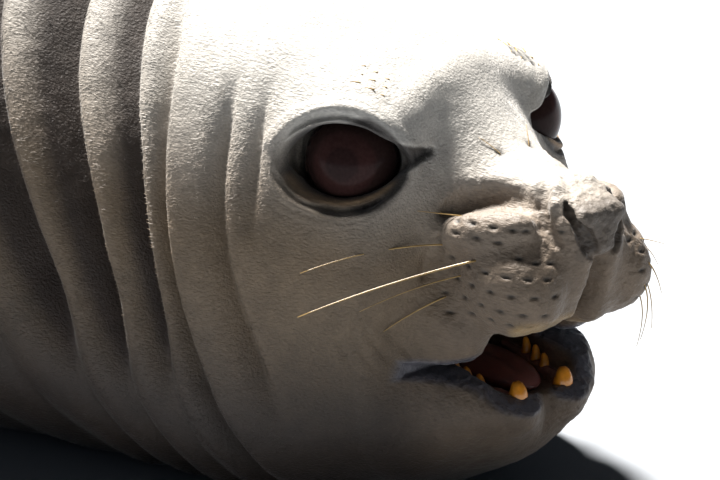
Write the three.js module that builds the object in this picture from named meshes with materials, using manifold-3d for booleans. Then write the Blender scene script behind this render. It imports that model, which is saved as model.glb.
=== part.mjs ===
// A female southern elephant seal lying on her belly with her mouth a little open, life size.
// Millimetres, +Z up. The head looks toward -Y and is turned a little to the seal's right (-X).
import * as THREE from "three";
import { mergeVertices } from "three/addons/utils/BufferGeometryUtils.js";
import Module from "manifold-3d";

// Driving sizes

const GAP = 0.4; // air between neighbouring nodes
const EYE_HEIGHT = 262; // eye centres above the floor
const HEAD_PLACE = [-55, -1240, EYE_HEIGHT]; // the point midway between the eyes
const HEAD_TURN = 14; // degrees the head is turned to the seal's right
const RING_POINTS = 32; // points round each section of the body
const FAR = 700; // longer than any section's radius

// Eyes, as forward, left and up from the point between the eyes
const EYE_CENTRE = [-14, 80, -5];
const EYE_RADIUS = 34;
const EYE_LOOK = [0.56, 0.8, 0.18];
const EYE_OPENING = [35, 21.5]; // half width and half height of the gap between the lids
const EYE_OPENING_BACK = 2; // the gap lies this far toward the ear
const LID_DEPTH = 4; // the gap is open from this far outside the eye's centre

// Head masses: centre, radii, outward turn, front lift, blend with the masses before it
const UPPER_HEAD = {
  cranium: [[-74, 0, -14], [116, 106, 85], 0, 0, 0],
  nape: [[-200, 0, -24], [150, 146, 122], 0, 0, 80],
  cheek: [[-48, 60, -84], [98, 70, 80], 0, 0, 50],
  bridge: [[62, 0, -40], [100, 50, 46], 0, -6, 36],
  muzzle: [[68, 0, -68], [86, 56, 52], 0, 0, 24],
  forehead: [[4, 0, -9], [76, 38, 46], 0, -24, 24],
  eyeMound: [[-22, 76, -4], [36, 37, 37], 0, 0, 22],
  brow: [[-20, 62, 25], [40, 26, 19], 25, 0, 25],
  lipCorner: [[50, 48, -116], [46, 26, 36], 10, 8, 22],
  whiskerPad: [[100, 38, -73], [57, 33, 42], 8, -8, 12],
  lipFront: [[120, 15, -88], [29, 23, 28], 0, -12, 12],
  nose: [[124, 0, -32], [34, 29, 26], 0, -16, 14],
  padCrest: [[97, 54, -37], [37, 14, 15], -17, 16, 14],
};
const LOWER_JAW = {
  chin: [[80, 24, -177], [36, 26, 25], 0, 0, 0],
  lowerLip: [[74, 37, -164], [34, 17, 18], 12, -22, 10],
  chinBase: [[40, 0, -188], [60, 56, 42], 0, 0, 14],
  ramus: [[10, 46, -164], [82, 32, 44], 8, -8, 18],
  throat: [[-80, 0, -190], [150, 132, 74], 0, 0, 50],
};
const NECK_BLEND = 70;

// Mouth: the lips' lines seen from the side, forward and up
const MOUTH_CORNER = [54, -144];
const UPPER_LIP = [
  [54, -143.5], [70, -143], [85, -139], [100, -132], [116, -119], [127, -109], [138, -102], [150, -101], [190, -101],
];
const LIP_SAG = 16; // the front of the upper lip hangs this much lower on the left side
const LOWER_LIP = [[54, -144.5], [75, -147], [88, -151], [100, -161], [112, -169], [122, -173], [190, -175]];
const MOUTH_HOLLOW = { centre: [52, 0, -140], radii: [57, 42, 33] };
const JAW_BACK = [[-4, -150], [-34, -300]]; // the jaw's back edge, from the mouth's corner down

// Trunk sections: place along Y, middle in X, bottom, top, half width
const TRUNK = [
  [-1240, -60, 30, 310, 104],
  [-1160, -54, -16, 345, 154],
  [-1070, -40, -24, 376, 182],
  [-970, -24, -26, 402, 206],
  [-850, -9, -28, 438, 240],
  [-700, 0, -30, 478, 294],
  [-480, 0, -34, 512, 346],
  [-230, 0, -36, 520, 368],
  [40, 0, -36, 498, 362],
  [300, 0, -34, 446, 330],
  [540, 0, -30, 374, 278],
  [760, 0, -24, 292, 214],
  [940, 0, -14, 214, 152],
  [1060, 0, 0, 158, 108],
  [1130, 0, 16, 122, 84],
  [1180, 0, 26, 92, 46],
  [1225, 0, 32, 70, 26],
  [1260, 0, 38, 58, 12],
];
const WIDEST = 0.42; // the widest level of a section, as a share of its height
const ROUND_ABOVE = 2.1; // section exponents: 2 is an ellipse, more is squarer
const ROUND_BELOW = 2.6;

// Deep creases of the neck: distance behind the eyes, depth, half width
const CREASES = [[138, 26, 19], [190, 36, 26], [250, 34, 29], [314, 26, 29], [384, 18, 28], [460, 11, 28]];
const CREASE_SLOPES = [0.28, 0.53]; // how far the creases run back for each millimetre up, at the head and at the neck
const CREASE_SLOPES_FROM = 80; // behind the eyes
const CREASE_SLOPES_OVER = 120;

// Flippers
const FORE_ROOT = [258, -700];
const FORE_HEADING = 24; // degrees outward from straight back
const FORE_SECTIONS = [ // along, half width, top, sideways shift
  [-60, 40, 150, 0], [0, 66, 130, 0], [60, 76, 100, 2], [140, 80, 66, 6], [230, 80, 46, 9], [310, 72, 34, 10],
  [380, 54, 26, 8], [424, 24, 19, 2],
];
const FORE_BOTTOM = -8;
const HIND_ROOT = [58, 1085];
const HIND_HEADING = 8;
const HIND_DIGITS = [[-28, -72, 402], [-14, -36, 360], [2, 2, 340], [18, 42, 364], [34, 88, 430]]; // start, end, length
const DIGIT_RADII = [26, 14];
const DIGIT_LEVEL = 13; // height of the digits' ends
const WEB_RADII = [18, 7];
const WEB_MIDDLE = [3, 8]; // sideways place of the web's middle at its root and at its rim
const WEB_HALF = [34, 82];
const WEB_ROOT = 20; // the web runs from here
const WEB_NOTCH = 342; // to here in the middle
const WEB_LOBES = 66; // and this much further at its outer digits

// Where the body is parted
const HEAD_END = [164, 20]; // behind the eyes, and degrees the parting leans back
const NECK_END = [422, 27];
const TRUNK_CUTS = [-260, 330];
const TAIL_START = 1120;

// Looks: colour, roughness, metalness
const COLOURS = {
  coat: [0x8d8378, 0.75],
  eye: [0x1d120d, 0.08],
  claw: [0x2b2521, 0.45],
  mouth: [0x6b3f3a, 0.4],
};

// Small sums

const radians = (degrees) => (degrees * Math.PI) / 180;
const point = (x, y, z) => new THREE.Vector3(x, y, z);

function smooth(t) {
  const inside = Math.min(Math.max(t, 0), 1);
  return inside * inside * (3 - 2 * inside);
}

function smoothMin(a, b, k) {
  const h = Math.max(k - Math.abs(a - b), 0) / k;
  return Math.min(a, b) - h * h * k * 0.25;
}

// Smooth curve through rows of [place, value, ...], read at a place
function curveAt(rows, place, column = 1) {
  const last = rows.length - 1;
  const x = Math.min(Math.max(place, rows[0][0]), rows[last][0]);
  let i = 0;
  while (i < last - 1 && x >= rows[i + 1][0]) i += 1;
  const slope = (j) => (rows[j + 1][column] - rows[j][column]) / (rows[j + 1][0] - rows[j][0]);
  const tangent = (j) => (j === 0 ? slope(0) : j === last ? slope(last - 1) : (slope(j - 1) + slope(j)) / 2);
  const span = rows[i + 1][0] - rows[i][0];
  const t = (x - rows[i][0]) / span;
  const rise = (3 - 2 * t) * t * t;
  const bend = t * (1 - t) * span;
  return rows[i][column] * (1 - rise) + rows[i + 1][column] * rise
    + bend * ((1 - t) * tangent(i) - t * tangent(i + 1));
}

// Head axes

const turn = radians(HEAD_TURN);
const FORWARD = point(-Math.sin(turn), -Math.cos(turn), 0);
const LEFT = point(Math.cos(turn), -Math.sin(turn), 0);
const UP = point(0, 0, 1);
const HEAD_AT = point(...HEAD_PLACE);

const fromHead = (f, l, u) => HEAD_AT.clone()
  .addScaledVector(FORWARD, f).addScaledVector(LEFT, l).addScaledVector(UP, u);

function toHead(p) {
  const d = p.clone().sub(HEAD_AT);
  return [d.dot(FORWARD), d.dot(LEFT), d.z];
}

// Form fields: below zero inside, about the distance to the surface

function ellipsoid([f, l, u], [centre, radii, outward, lift]) {
  const [a, b] = [radians(outward), radians(lift)];
  const [df, dl, du] = [f - centre[0], l - centre[1], u - centre[2]];
  const along = df * Math.cos(a) + dl * Math.sin(a);
  const q = [
    along * Math.cos(b) + du * Math.sin(b),
    -df * Math.sin(a) + dl * Math.cos(a),
    -along * Math.sin(b) + du * Math.cos(b),
  ];
  const k0 = Math.hypot(...q.map((v, i) => v / radii[i])) + 1e-6;
  const k1 = Math.hypot(...q.map((v, i) => v / radii[i] ** 2)) + 1e-9;
  return (k0 * (k0 - 1)) / k1;
}

function masses([f, l, u], table) {
  const q = [f, Math.abs(l), u];
  return Object.values(table).reduce((sum, mass) => {
    const d = ellipsoid(q, mass);
    return sum === null ? d : smoothMin(sum, d, mass[4]);
  }, null);
}

function section(across, up, half, top, bottom, widest = WIDEST, above = ROUND_ABOVE, below = ROUND_BELOW) {
  const middle = bottom + widest * (top - bottom);
  const dz = up - middle;
  const reach = dz > 0 ? top - middle : middle - bottom;
  const n = dz > 0 ? above : below;
  const g = ((Math.abs(across) / half) ** n + (Math.abs(dz) / reach) ** n) ** (1 / n) + 1e-6;
  return Math.hypot(across, dz) * (1 - 1 / g);
}

function withEnds(side, beyond) {
  return beyond > 0 ? Math.hypot(Math.max(side, 0), beyond) : side;
}

function trunk(p) {
  const at = (column) => curveAt(TRUNK, p.y, column);
  const side = section(p.x - at(1), p.z, at(4), at(3), at(2));
  return withEnds(side, Math.max(TRUNK[0][0] - p.y, p.y - TRUNK.at(-1)[0]));
}

// How far the creases lean at a place, and how far behind the eyes the crease through a place starts
const creaseSlope = (f) => CREASE_SLOPES[0]
  + (CREASE_SLOPES[1] - CREASE_SLOPES[0]) * smooth((-f - CREASE_SLOPES_FROM) / CREASE_SLOPES_OVER);
const creasePlace = ([f, , u]) => -f - creaseSlope(f) * (u + 20);

function creaseDepth(q) {
  const s = creasePlace(q);
  const share = 0.25 + 0.75 * smooth((q[2] + 190) / 90);
  return CREASES.reduce((sum, [at, deep, wide]) => {
    const t = Math.abs(s - at) / wide;
    return sum + deep * share * (0.42 * Math.exp(-t * t) + 0.58 * Math.exp(-((2.3 * t) ** 1.5)));
  }, 0);
}

const upperForm = (p) => {
  const q = toHead(p);
  return smoothMin(masses(q, UPPER_HEAD), trunk(p), NECK_BLEND);
};

const jawForm = (p) => smoothMin(masses(toHead(p), LOWER_JAW), trunk(p), NECK_BLEND);

const headAndJaw = (p) => smoothMin(upperForm(p), jawForm(p), 12) + creaseDepth(toHead(p));

function foreForm(grow) {
  return ([along, across, up]) => {
    const at = (column) => curveAt(FORE_SECTIONS, along, column);
    const side = section(across - at(3), up, at(1), at(2), FORE_BOTTOM, 0.3, 2, 2.4);
    return withEnds(side, Math.max(FORE_SECTIONS[0][0] - along, along - FORE_SECTIONS.at(-1)[0])) - grow;
  };
}

// Surfaces as rows of points

// The distance from a point inside to the surface, along a direction
function reach(form, from, direction) {
  const value = (t) => form(from.clone().addScaledVector(direction, t));
  let inner = 0;
  let outer = 0;
  while (outer < FAR && value(outer) < 0) {
    inner = outer;
    outer += Math.max(3, -value(outer) * 0.7);
  }
  for (let i = 0; i < 14; i += 1) {
    const middle = (inner + outer) / 2;
    if (value(middle) < 0) inner = middle;
    else outer = middle;
  }
  return inner;
}

// One row round a centre: rays lean forward of the ring's plane by an angle
function ring(form, centre, side, up, lean = 0, count = RING_POINTS) {
  const ahead = side.clone().cross(up);
  return Array.from({ length: count }, (_, i) => {
    const a = (i / count) * 2 * Math.PI;
    const direction = side.clone().multiplyScalar(Math.cos(a) * Math.cos(lean))
      .addScaledVector(up, Math.sin(a) * Math.cos(lean))
      .addScaledVector(ahead, Math.sin(lean));
    return centre.clone().addScaledVector(direction, reach(form, centre, direction));
  });
}

// Rows of a rounded end, from its pole back to the ring plane
function domeRows(form, centre, side, up, leans, count = RING_POINTS) {
  const ahead = side.clone().cross(up);
  const pole = centre.clone().addScaledVector(ahead, reach(form, centre, ahead));
  return { pole, rows: leans.map((lean) => ring(form, centre, side, up, radians(lean), count)) };
}

// A closed skin over rows of equal length, each end drawn to one point
function loft(rows, first, last) {
  const count = rows[0].length;
  const points = [...rows.flat(), first, last];
  const index = [];
  rows.slice(1).forEach((_, r) => {
    for (let i = 0; i < count; i += 1) {
      const j = (i + 1) % count;
      const [a, b, c, d] = [r * count + i, r * count + j, (r + 1) * count + j, (r + 1) * count + i];
      index.push(a, b, c, a, c, d);
    }
  });
  const end = (rows.length - 1) * count;
  for (let i = 0; i < count; i += 1) {
    const j = (i + 1) % count;
    index.push(rows.length * count, j, i, rows.length * count + 1, end + i, end + j);
  }
  const geometry = new THREE.BufferGeometry().setFromPoints(points);
  geometry.setIndex(index);
  return geometry;
}

const middle = (row) => row.reduce((sum, p) => sum.add(p), point(0, 0, 0)).divideScalar(row.length);

// Solids and their joins

const manifold = await Module();
manifold.setup();

function solid(geometry) {
  const bare = geometry.clone();
  bare.deleteAttribute("normal");
  bare.deleteAttribute("uv");
  const merged = mergeVertices(bare, 1e-4);
  const made = new manifold.Manifold(new manifold.Mesh({
    numProp: 3,
    vertProperties: new Float32Array(merged.attributes.position.array),
    triVerts: new Uint32Array(merged.index.array),
  }));
  return made;
}

// A closed skin may be wound either way: keep the one with a volume above zero
function filled(geometry) {
  const made = solid(geometry);
  if (made.volume() > 0) return made;
  const flipped = geometry.clone();
  const order = Array.from(geometry.index.array);
  for (let i = 0; i < order.length; i += 3) [order[i], order[i + 1]] = [order[i + 1], order[i]];
  flipped.setIndex(order);
  return solid(flipped);
}

function toGeometry(made) {
  const mesh = made.getMesh();
  const geometry = new THREE.BufferGeometry();
  geometry.setAttribute("position", new THREE.BufferAttribute(new Float32Array(mesh.vertProperties), 3));
  geometry.setIndex(new THREE.BufferAttribute(new Uint32Array(mesh.triVerts), 1));
  geometry.computeVertexNormals();
  return geometry;
}

const together = (list) => list.reduce((sum, item) => sum.add(item));

// A box from two corners
function block(low, high) {
  const size = high.map((v, i) => v - low[i]);
  const box = new THREE.BoxGeometry(...size);
  box.translate(...high.map((v, i) => (v + low[i]) / 2));
  return filled(box);
}

// A big block with one face through a point, filling the side the direction points to
function halfSpace(at, direction) {
  const box = new THREE.BoxGeometry(6000, 6000, 6000);
  box.translate(0, 0, 3000);
  box.applyQuaternion(new THREE.Quaternion().setFromUnitVectors(UP, direction.clone().normalize()));
  box.translate(at.x, at.y, at.z);
  return filled(box);
}

// A side outline of the head, drawn forward and up, as a prism between two places across it
function headPrism(outline, from = -240, to = 240) {
  const shape = new THREE.Shape(outline.map(([f, u]) => new THREE.Vector2(f, u)));
  const prism = new THREE.ExtrudeGeometry(shape, { depth: to - from, bevelEnabled: false });
  prism.translate(0, 0, -to);
  // Prism x, y, z are forward, up, right
  const place = new THREE.Matrix4().makeBasis(FORWARD, UP, LEFT.clone().negate());
  place.setPosition(HEAD_AT);
  prism.applyMatrix4(place);
  return filled(prism);
}

function ball(centre, radius) {
  const sphere = new THREE.SphereGeometry(radius, 14, 9);
  sphere.translate(centre.x, centre.y, centre.z);
  return filled(sphere);
}

// A round rod whose radius runs from one ball to another
function taperedRod(from, to, radiusFrom, radiusTo, count = 8) {
  const length = from.distanceTo(to);
  const quarter = [0, 45, 90].map(radians);
  const profile = [
    ...quarter.map((a) => new THREE.Vector2(radiusFrom * Math.sin(a), -radiusFrom * Math.cos(a))),
    ...quarter.map((a) => new THREE.Vector2(radiusTo * Math.cos(a), length + radiusTo * Math.sin(a))),
  ];
  profile[0].x = 0;
  profile.at(-1).x = 0;
  const rod = new THREE.LatheGeometry(profile, count);
  const along = to.clone().sub(from).normalize();
  rod.applyQuaternion(new THREE.Quaternion().setFromUnitVectors(point(0, 1, 0), along));
  rod.translate(from.x, from.y, from.z);
  return filled(rod);
}

// A curved pointed horn along a bend of three points
function horn(start, bend, tip, radius, count = 5, steps = 3) {
  const curve = new THREE.QuadraticBezierCurve3(start, bend, tip);
  const side = tip.clone().sub(start).cross(UP).normalize();
  const rows = Array.from({ length: steps }, (_, i) => {
    const t = i / steps;
    const along = curve.getTangent(t);
    const across = side.clone().addScaledVector(along, -side.dot(along)).normalize();
    const over = along.clone().cross(across);
    const r = radius * Math.sqrt(1 - t * t);
    return Array.from({ length: count }, (_, k) => {
      const a = (k / count) * 2 * Math.PI;
      return curve.getPoint(t).addScaledVector(across, r * Math.cos(a)).addScaledVector(over, r * Math.sin(a));
    });
  });
  return filled(loft(rows, start, tip));
}

// Body

// Section planes from the muzzle back: in the head they face forward, in the neck they follow the
// creases' lean, and along the trunk they come round to face straight ahead
function headRing(form, f, u, leanBack) {
  const up = UP.clone().multiplyScalar(Math.cos(leanBack)).addScaledVector(FORWARD, -Math.sin(leanBack));
  return ring(form, fromHead(f, 0, u), LEFT, up);
}

function faceRows() {
  const nose = domeRows(upperForm, fromHead(80, 0, -64), LEFT, UP, [79, 67, 55, 44, 33, 22, 11]);
  const muzzle = [80, 66, 52].map((f) => headRing(upperForm, f, -64 - (80 - f) * 0.3, 0));
  return { pole: nose.pole, rows: [...nose.rows, ...muzzle] };
}

function skullRows() {
  const places = [38, 25, 12, -2, -16, -32, -50, -72];
  return places.map((f, i) => headRing(headAndJaw, f, -78 - i, radians(16) * (i / places.length)));
}

// A ring that keeps to one crease: each ray is turned forward or back until it meets the skin there
function creaseRing(s) {
  const centre = fromHead(-s + creaseSlope(-s) * 70, 0, -90);
  return Array.from({ length: RING_POINTS }, (_, i) => {
    const a = (i / RING_POINTS) * 2 * Math.PI;
    let ahead = 0;
    let place;
    for (let round = 0; round < 6; round += 1) {
      const direction = LEFT.clone().multiplyScalar(Math.cos(a)).addScaledVector(UP, Math.sin(a))
        .addScaledVector(FORWARD, ahead).normalize();
      place = centre.clone().addScaledVector(direction, reach(headAndJaw, centre, direction));
      ahead += (creasePlace(toHead(place)) - s) / place.distanceTo(centre);
    }
    return place;
  });
}

function neckRows() {
  const rows = CREASES.flatMap(([at, , wide], i) => {
    const next = CREASES[i + 1]?.[0] ?? at + 70;
    return [at - 0.75 * wide, at, at + 0.75 * wide, (at + next) / 2];
  });
  return [108, ...rows].map(creaseRing);
}

// Trunk rings turn from the neck's plane to straight across between two places along Y
function trunkRows() {
  const places = [-690, -610, -510, -390, -250, -90, 70, 220, 360, 490, 610, 720, 820, 910, 990, 1060, 1120, 1175, 1220];
  const [turnFrom, turnTo] = [-740, -400];
  return places.map((y) => {
    const t = Math.min(Math.max((y - turnFrom) / (turnTo - turnFrom), 0), 1);
    const side = LEFT.clone().lerp(point(1, 0, 0), t).normalize();
    const lean = Math.atan(CREASE_SLOPES[1]) * (1 - t);
    const ahead = point(side.y, -side.x, 0);
    const up = UP.clone().multiplyScalar(Math.cos(lean)).addScaledVector(ahead, -Math.sin(lean));
    const [bottom, top] = [curveAt(TRUNK, y, 2), curveAt(TRUNK, y, 3)];
    const centre = point(curveAt(TRUNK, y, 1), y, bottom + WIDEST * (top - bottom));
    return ring(headAndJaw, centre, side, up);
  });
}

function wholeBody() {
  const face = faceRows();
  const rows = [...face.rows, ...skullRows(), ...neckRows(), ...trunkRows()];
  return filled(loft(rows, face.pole, point(0, TRUNK.at(-1)[0], 48)));
}

// The jaw's back rows sink into the head, so that the two skins cross cleanly
function jawBody() {
  const count = 24;
  const level = -182;
  const chin = domeRows(jawForm, fromHead(66, 0, level), LEFT, UP, [74, 56, 40, 26, 12], count);
  const back = [[66, 0], [48, 0], [40, 3], [24, 14]].map(([f, sunk]) => (
    ring((p) => jawForm(p) + sunk, fromHead(f, 0, level), LEFT, UP, 0, count)));
  const rows = [...chin.rows, ...back];
  return filled(loft(rows, chin.pole, middle(rows.at(-1))));
}

// Mouth

// The gap between the lips, in a right and a left half that meet a little right of the middle
function lipGap() {
  const upper = Array.from({ length: 10 }, (_, i) => 54 + i * 13);
  const lower = [...upper].reverse();
  return together([[-240, -8, 0], [-8, 240, LIP_SAG]].map(([from, to, sag]) => headPrism([
    ...upper.map((f) => [f, curveAt(UPPER_LIP, f) - sag * smooth((f - 112) / 24)]),
    ...lower.map((f) => [f, curveAt(LOWER_LIP, f)]),
  ], from, to)));
}

function mouthHollow() {
  const { centre, radii } = MOUTH_HOLLOW;
  const geometry = new THREE.SphereGeometry(1, 16, 8);
  const place = geometry.attributes.position;
  const p = point(0, 0, 0);
  for (let i = 0; i < place.count; i += 1) {
    p.fromBufferAttribute(place, i);
    const plan = ((Math.abs(p.x) / radii[0]) ** 4 + (Math.abs(p.y) / radii[1]) ** 4) ** 0.25;
    const g = (plan ** 3 + (Math.abs(p.z) / radii[2]) ** 3) ** (1 / 3);
    p.divideScalar(g);
    const world = fromHead(centre[0] + p.x, centre[1] + p.y, centre[2] + p.z);
    place.setXYZ(i, world.x, world.y, world.z);
  }
  return filled(geometry);
}

// The part of the head that belongs to the lower jaw
function jawRegion(grow) {
  const [cornerF, cornerU] = MOUTH_CORNER;
  const outline = [
    [260, -140], [110, -143], [72, cornerU - 0.8], [cornerF - 2, cornerU],
    [JAW_BACK[0][0], JAW_BACK[0][1]], [JAW_BACK[1][0], JAW_BACK[1][1]], [260, -300],
  ];
  const widened = outline.map(([f, u]) => [f - (f < 60 ? grow : 0), u + (u > -290 ? grow : 0)]);
  return headPrism(widened);
}

// Peg teeth: forward, sideways, root level, tip level, root radius
const LOWER_TEETH = [
  [95, 22, -180, -156, 6.5], [66, 31, -178, -156, 4], [55, 33, -178, -153, 4], [44, 34, -178, -150, 4],
];
const UPPER_TEETH = [
  [116, 19, -84, -108, 6], [124, 6.5, -84, -102, 3], [92, 29, -96, -112, 3.4], [78, 32, -96, -116, 3.4],
  [64, 33, -96, -118, 3.4],
];

function teeth(table) {
  return together(table.flatMap(([f, l, root, tip, radius]) => [-1, 1].map((side) => {
    const out = l * side;
    return horn(fromHead(f, out, root), fromHead(f + 3, out * 1.06, (root + tip) / 2), fromHead(f + 1, out * 1.02, tip),
      radius);
  })));
}

function tongueBody(grow) {
  const geometry = new THREE.SphereGeometry(1, 12, 7);
  geometry.scale(46 + grow, 23 + grow, 11 + grow);
  geometry.rotateY(radians(4));
  geometry.applyMatrix4(new THREE.Matrix4().makeBasis(FORWARD, LEFT, UP).setPosition(fromHead(46, 0, -163)));
  return filled(geometry);
}

// Eyes

const eyeCentre = (side) => fromHead(EYE_CENTRE[0], EYE_CENTRE[1] * side, EYE_CENTRE[2]);

function eyeOpening(side) {
  const look = FORWARD.clone().multiplyScalar(EYE_LOOK[0])
    .addScaledVector(LEFT, EYE_LOOK[1] * side).addScaledVector(UP, EYE_LOOK[2]).normalize();
  const along = LEFT.clone().multiplyScalar(-side).addScaledVector(FORWARD, 0);
  along.crossVectors(UP, look).normalize();
  if (along.dot(FORWARD) < 0) along.negate();
  const over = look.clone().cross(along).normalize();
  const tube = new THREE.CylinderGeometry(1, 1, 120, 18);
  tube.translate(0, 60 + LID_DEPTH, 0);
  tube.scale(EYE_OPENING[0], 1, EYE_OPENING[1]);
  tube.applyMatrix4(new THREE.Matrix4().makeBasis(along, look, over));
  const at = eyeCentre(side).addScaledVector(along, -EYE_OPENING_BACK);
  tube.translate(at.x, at.y, at.z);
  return filled(tube);
}

// Flippers

function flipperFrame(root, heading, side) {
  const a = radians(heading) * side;
  const along = point(Math.sin(a), Math.cos(a), 0);
  const across = point(Math.cos(a), -Math.sin(a), 0).multiplyScalar(side);
  const origin = point(root[0] * side, root[1], 0);
  return {
    to: ([t, c, u]) => origin.clone().addScaledVector(along, t).addScaledVector(across, c).setZ(u),
    from: (p) => {
      const d = p.clone().sub(origin);
      return [d.dot(along), d.dot(across), p.z];
    },
  };
}

function foreFlipper(side, grow) {
  const frame = flipperFrame(FORE_ROOT, FORE_HEADING, side);
  const form = (p) => foreForm(grow)(frame.from(p));
  const places = [-50, 0, 50, 105, 165, 230, 290, 340, 380, 408];
  const across = frame.to([0, 1, 0]).sub(frame.to([0, 0, 0]));
  const rows = places.map((t) => {
    const top = curveAt(FORE_SECTIONS, t, 2);
    return ring(form, frame.to([t, curveAt(FORE_SECTIONS, t, 3), 0.3 * top]), across, UP, 0, 14);
  });
  const tip = frame.to([FORE_SECTIONS.at(-1)[0] + grow, 2, 5]);
  return filled(loft(rows, frame.to([FORE_SECTIONS[0][0] - grow, 0, 40]), tip));
}

// Claws at the rim of a fore flipper, the first digit's the largest
function foreClaws(side, grow) {
  const frame = flipperFrame(FORE_ROOT, FORE_HEADING, side);
  const digits = [[-52, 366, -14], [-26, 394, -7], [2, 408, 0], [28, 400, 6], [50, 376, 12]];
  return digits.map(([across, reachOut, splay], i) => {
    const length = 44 - i * 3;
    const lean = radians(splay);
    const step = (s, u) => frame.to([reachOut - 16 + s * Math.cos(lean), across + s * Math.sin(lean), u]);
    return horn(step(-grow, 17), step(length * 0.6, 22), step(length + grow, 7), 5.4 - i * 0.3 + grow);
  });
}

function web(frame, grow) {
  const columns = Array.from({ length: 9 }, (_, i) => -1 + i / 4);
  const rows = columns.map((share) => {
    const end = WEB_NOTCH + WEB_LOBES * share * share;
    const edge = WEB_MIDDLE.map((middlePlace, i) => middlePlace + (WEB_HALF[i] + grow) * share);
    return [
      frame.to([WEB_ROOT - grow, edge[0], DIGIT_LEVEL - WEB_RADII[0] - grow]),
      frame.to([end + grow, edge[1], DIGIT_LEVEL - WEB_RADII[1] - grow]),
      frame.to([end + grow, edge[1], DIGIT_LEVEL + WEB_RADII[1] + grow]),
      frame.to([WEB_ROOT - grow, edge[0], DIGIT_LEVEL + WEB_RADII[0] + grow]),
    ];
  });
  return filled(loft(rows, middle(rows[0]), middle(rows.at(-1))));
}

function hindFlipper(side, grow) {
  const frame = flipperFrame(HIND_ROOT, HIND_HEADING, side);
  const root = taperedRod(frame.to([-90, -12, 66]), frame.to([70, 2, 40]), 60 + grow, 36 + grow, 12);
  const digits = HIND_DIGITS.map(([start, end, length]) => taperedRod(
    frame.to([60, start, 28]), frame.to([length, end, DIGIT_LEVEL]), DIGIT_RADII[0] + grow, DIGIT_RADII[1] + grow,
  ));
  return together([root, ...digits, web(frame, grow)]);
}

// Parting the body into its nodes

const floorUp = halfSpace(point(0, 0, 0), UP);
const SIDES = { right: -1, left: 1 };
const sideNames = Object.keys(SIDES);

// A plane across the neck, at a distance behind the eyes, leaning back
function neckPlane([behind, degrees]) {
  const lean = radians(degrees);
  const normal = FORWARD.clone().multiplyScalar(Math.cos(lean)).addScaledVector(UP, Math.sin(lean));
  return { at: fromHead(-behind, 0, -20), normal };
}

function partedBody() {
  let body = wholeBody().add(jawBody()).intersect(floorUp);
  body = body.subtract(lipGap()).subtract(mouthHollow());
  sideNames.forEach((name) => {
    body = body.subtract(ball(eyeCentre(SIDES[name]), EYE_RADIUS + GAP));
    body = body.subtract(eyeOpening(SIDES[name]));
  });
  return body;
}

// The stretch of the body between two planes, each given as a point and a direction to the head
function stretch(body, front, back) {
  let part = body;
  if (front) part = part.intersect(halfSpace(front.at.clone().addScaledVector(front.normal, -GAP / 2), front.normal.clone().negate()));
  if (back) part = part.intersect(halfSpace(back.at.clone().addScaledVector(back.normal, GAP / 2), back.normal));
  return part;
}

// Only the largest piece of a cut solid is kept, without slivers
function largest(made) {
  return made.decompose().reduce((best, item) => (item.volume() > best.volume() ? item : best));
}

function fleshNodes() {
  const body = partedBody();
  const straight = (y) => ({ at: point(0, y, 0), normal: point(0, -1, 0) });
  const planes = [neckPlane(HEAD_END), neckPlane(NECK_END), ...TRUNK_CUTS.map(straight), straight(TAIL_START)];
  const headWhole = stretch(body, null, planes[0]);
  const jaw = headWhole.intersect(jawRegion(0)).add(teeth(LOWER_TEETH)).subtract(tongueBody(GAP));
  const head = headWhole.subtract(jawRegion(GAP)).add(teeth(UPPER_TEETH));
  const foreSockets = together(sideNames.map((name) => foreFlipper(SIDES[name], GAP)));
  const hindForms = sideNames.map((name) => hindFlipper(SIDES[name], 0));
  const hindSockets = together(sideNames.map((name) => hindFlipper(SIDES[name], GAP)));
  const behind = halfSpace(point(0, TAIL_START + GAP / 2, 0), point(0, 1, 0));
  const before = halfSpace(point(0, TAIL_START - GAP / 2, 0), point(0, -1, 0));
  const nodes = {
    head,
    lower_jaw: jaw,
    neck: stretch(body, planes[0], planes[1]),
    chest: stretch(body, planes[1], planes[2]).subtract(foreSockets),
    belly: stretch(body, planes[2], planes[3]),
    hips: together([stretch(body, planes[3], planes[4]), ...hindForms.map((form) => form.intersect(before))]),
    tail: stretch(body, planes[4], null).subtract(hindSockets),
  };
  sideNames.forEach((name, i) => {
    const apart = halfSpace(point((SIDES[name] * GAP) / 2, 0, 0), point(SIDES[name], 0, 0));
    const claws = together(foreClaws(SIDES[name], GAP));
    nodes[`fore_flipper_${name}`] = foreFlipper(SIDES[name], 0).subtract(claws);
    nodes[`hind_flipper_${name}`] = hindForms[i].intersect(behind).intersect(apart);
  });
  return Object.entries(nodes).map(([name, made]) => [name, largest(made.intersect(floorUp))]);
}

// Assembly

const materials = Object.fromEntries(Object.entries(COLOURS).map(([name, [color, roughness]]) => [
  name, new THREE.MeshStandardMaterial({ name, color, roughness, metalness: 0 }),
]));

const seal = new THREE.Group();
seal.name = "elephant_seal";

function add(name, made, material) {
  const mesh = new THREE.Mesh(toGeometry(made), materials[material]);
  mesh.name = name;
  seal.add(mesh);
}

function addEye(name) {
  const sphere = new THREE.SphereGeometry(EYE_RADIUS, 14, 9);
  const mesh = new THREE.Mesh(sphere, materials.eye);
  mesh.name = `eye_${name}`;
  mesh.position.copy(eyeCentre(SIDES[name]));
  seal.add(mesh);
}

fleshNodes().forEach(([name, made]) => add(name, made, "coat"));
add("tongue", tongueBody(0), "mouth");
sideNames.forEach((name) => {
  addEye(name);
  foreClaws(SIDES[name], 0).forEach((claw, i) => add(`claw_${name}_${i + 1}`, claw, "claw"));
});

// The origin is the middle of the footprint's box, on the floor
const bounds = new THREE.Box3().setFromObject(seal);
const centre = bounds.getCenter(point(0, 0, 0));
seal.position.set(-centre.x, -centre.y, -bounds.min.z);
seal.updateMatrixWorld(true);

export default seal;
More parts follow.
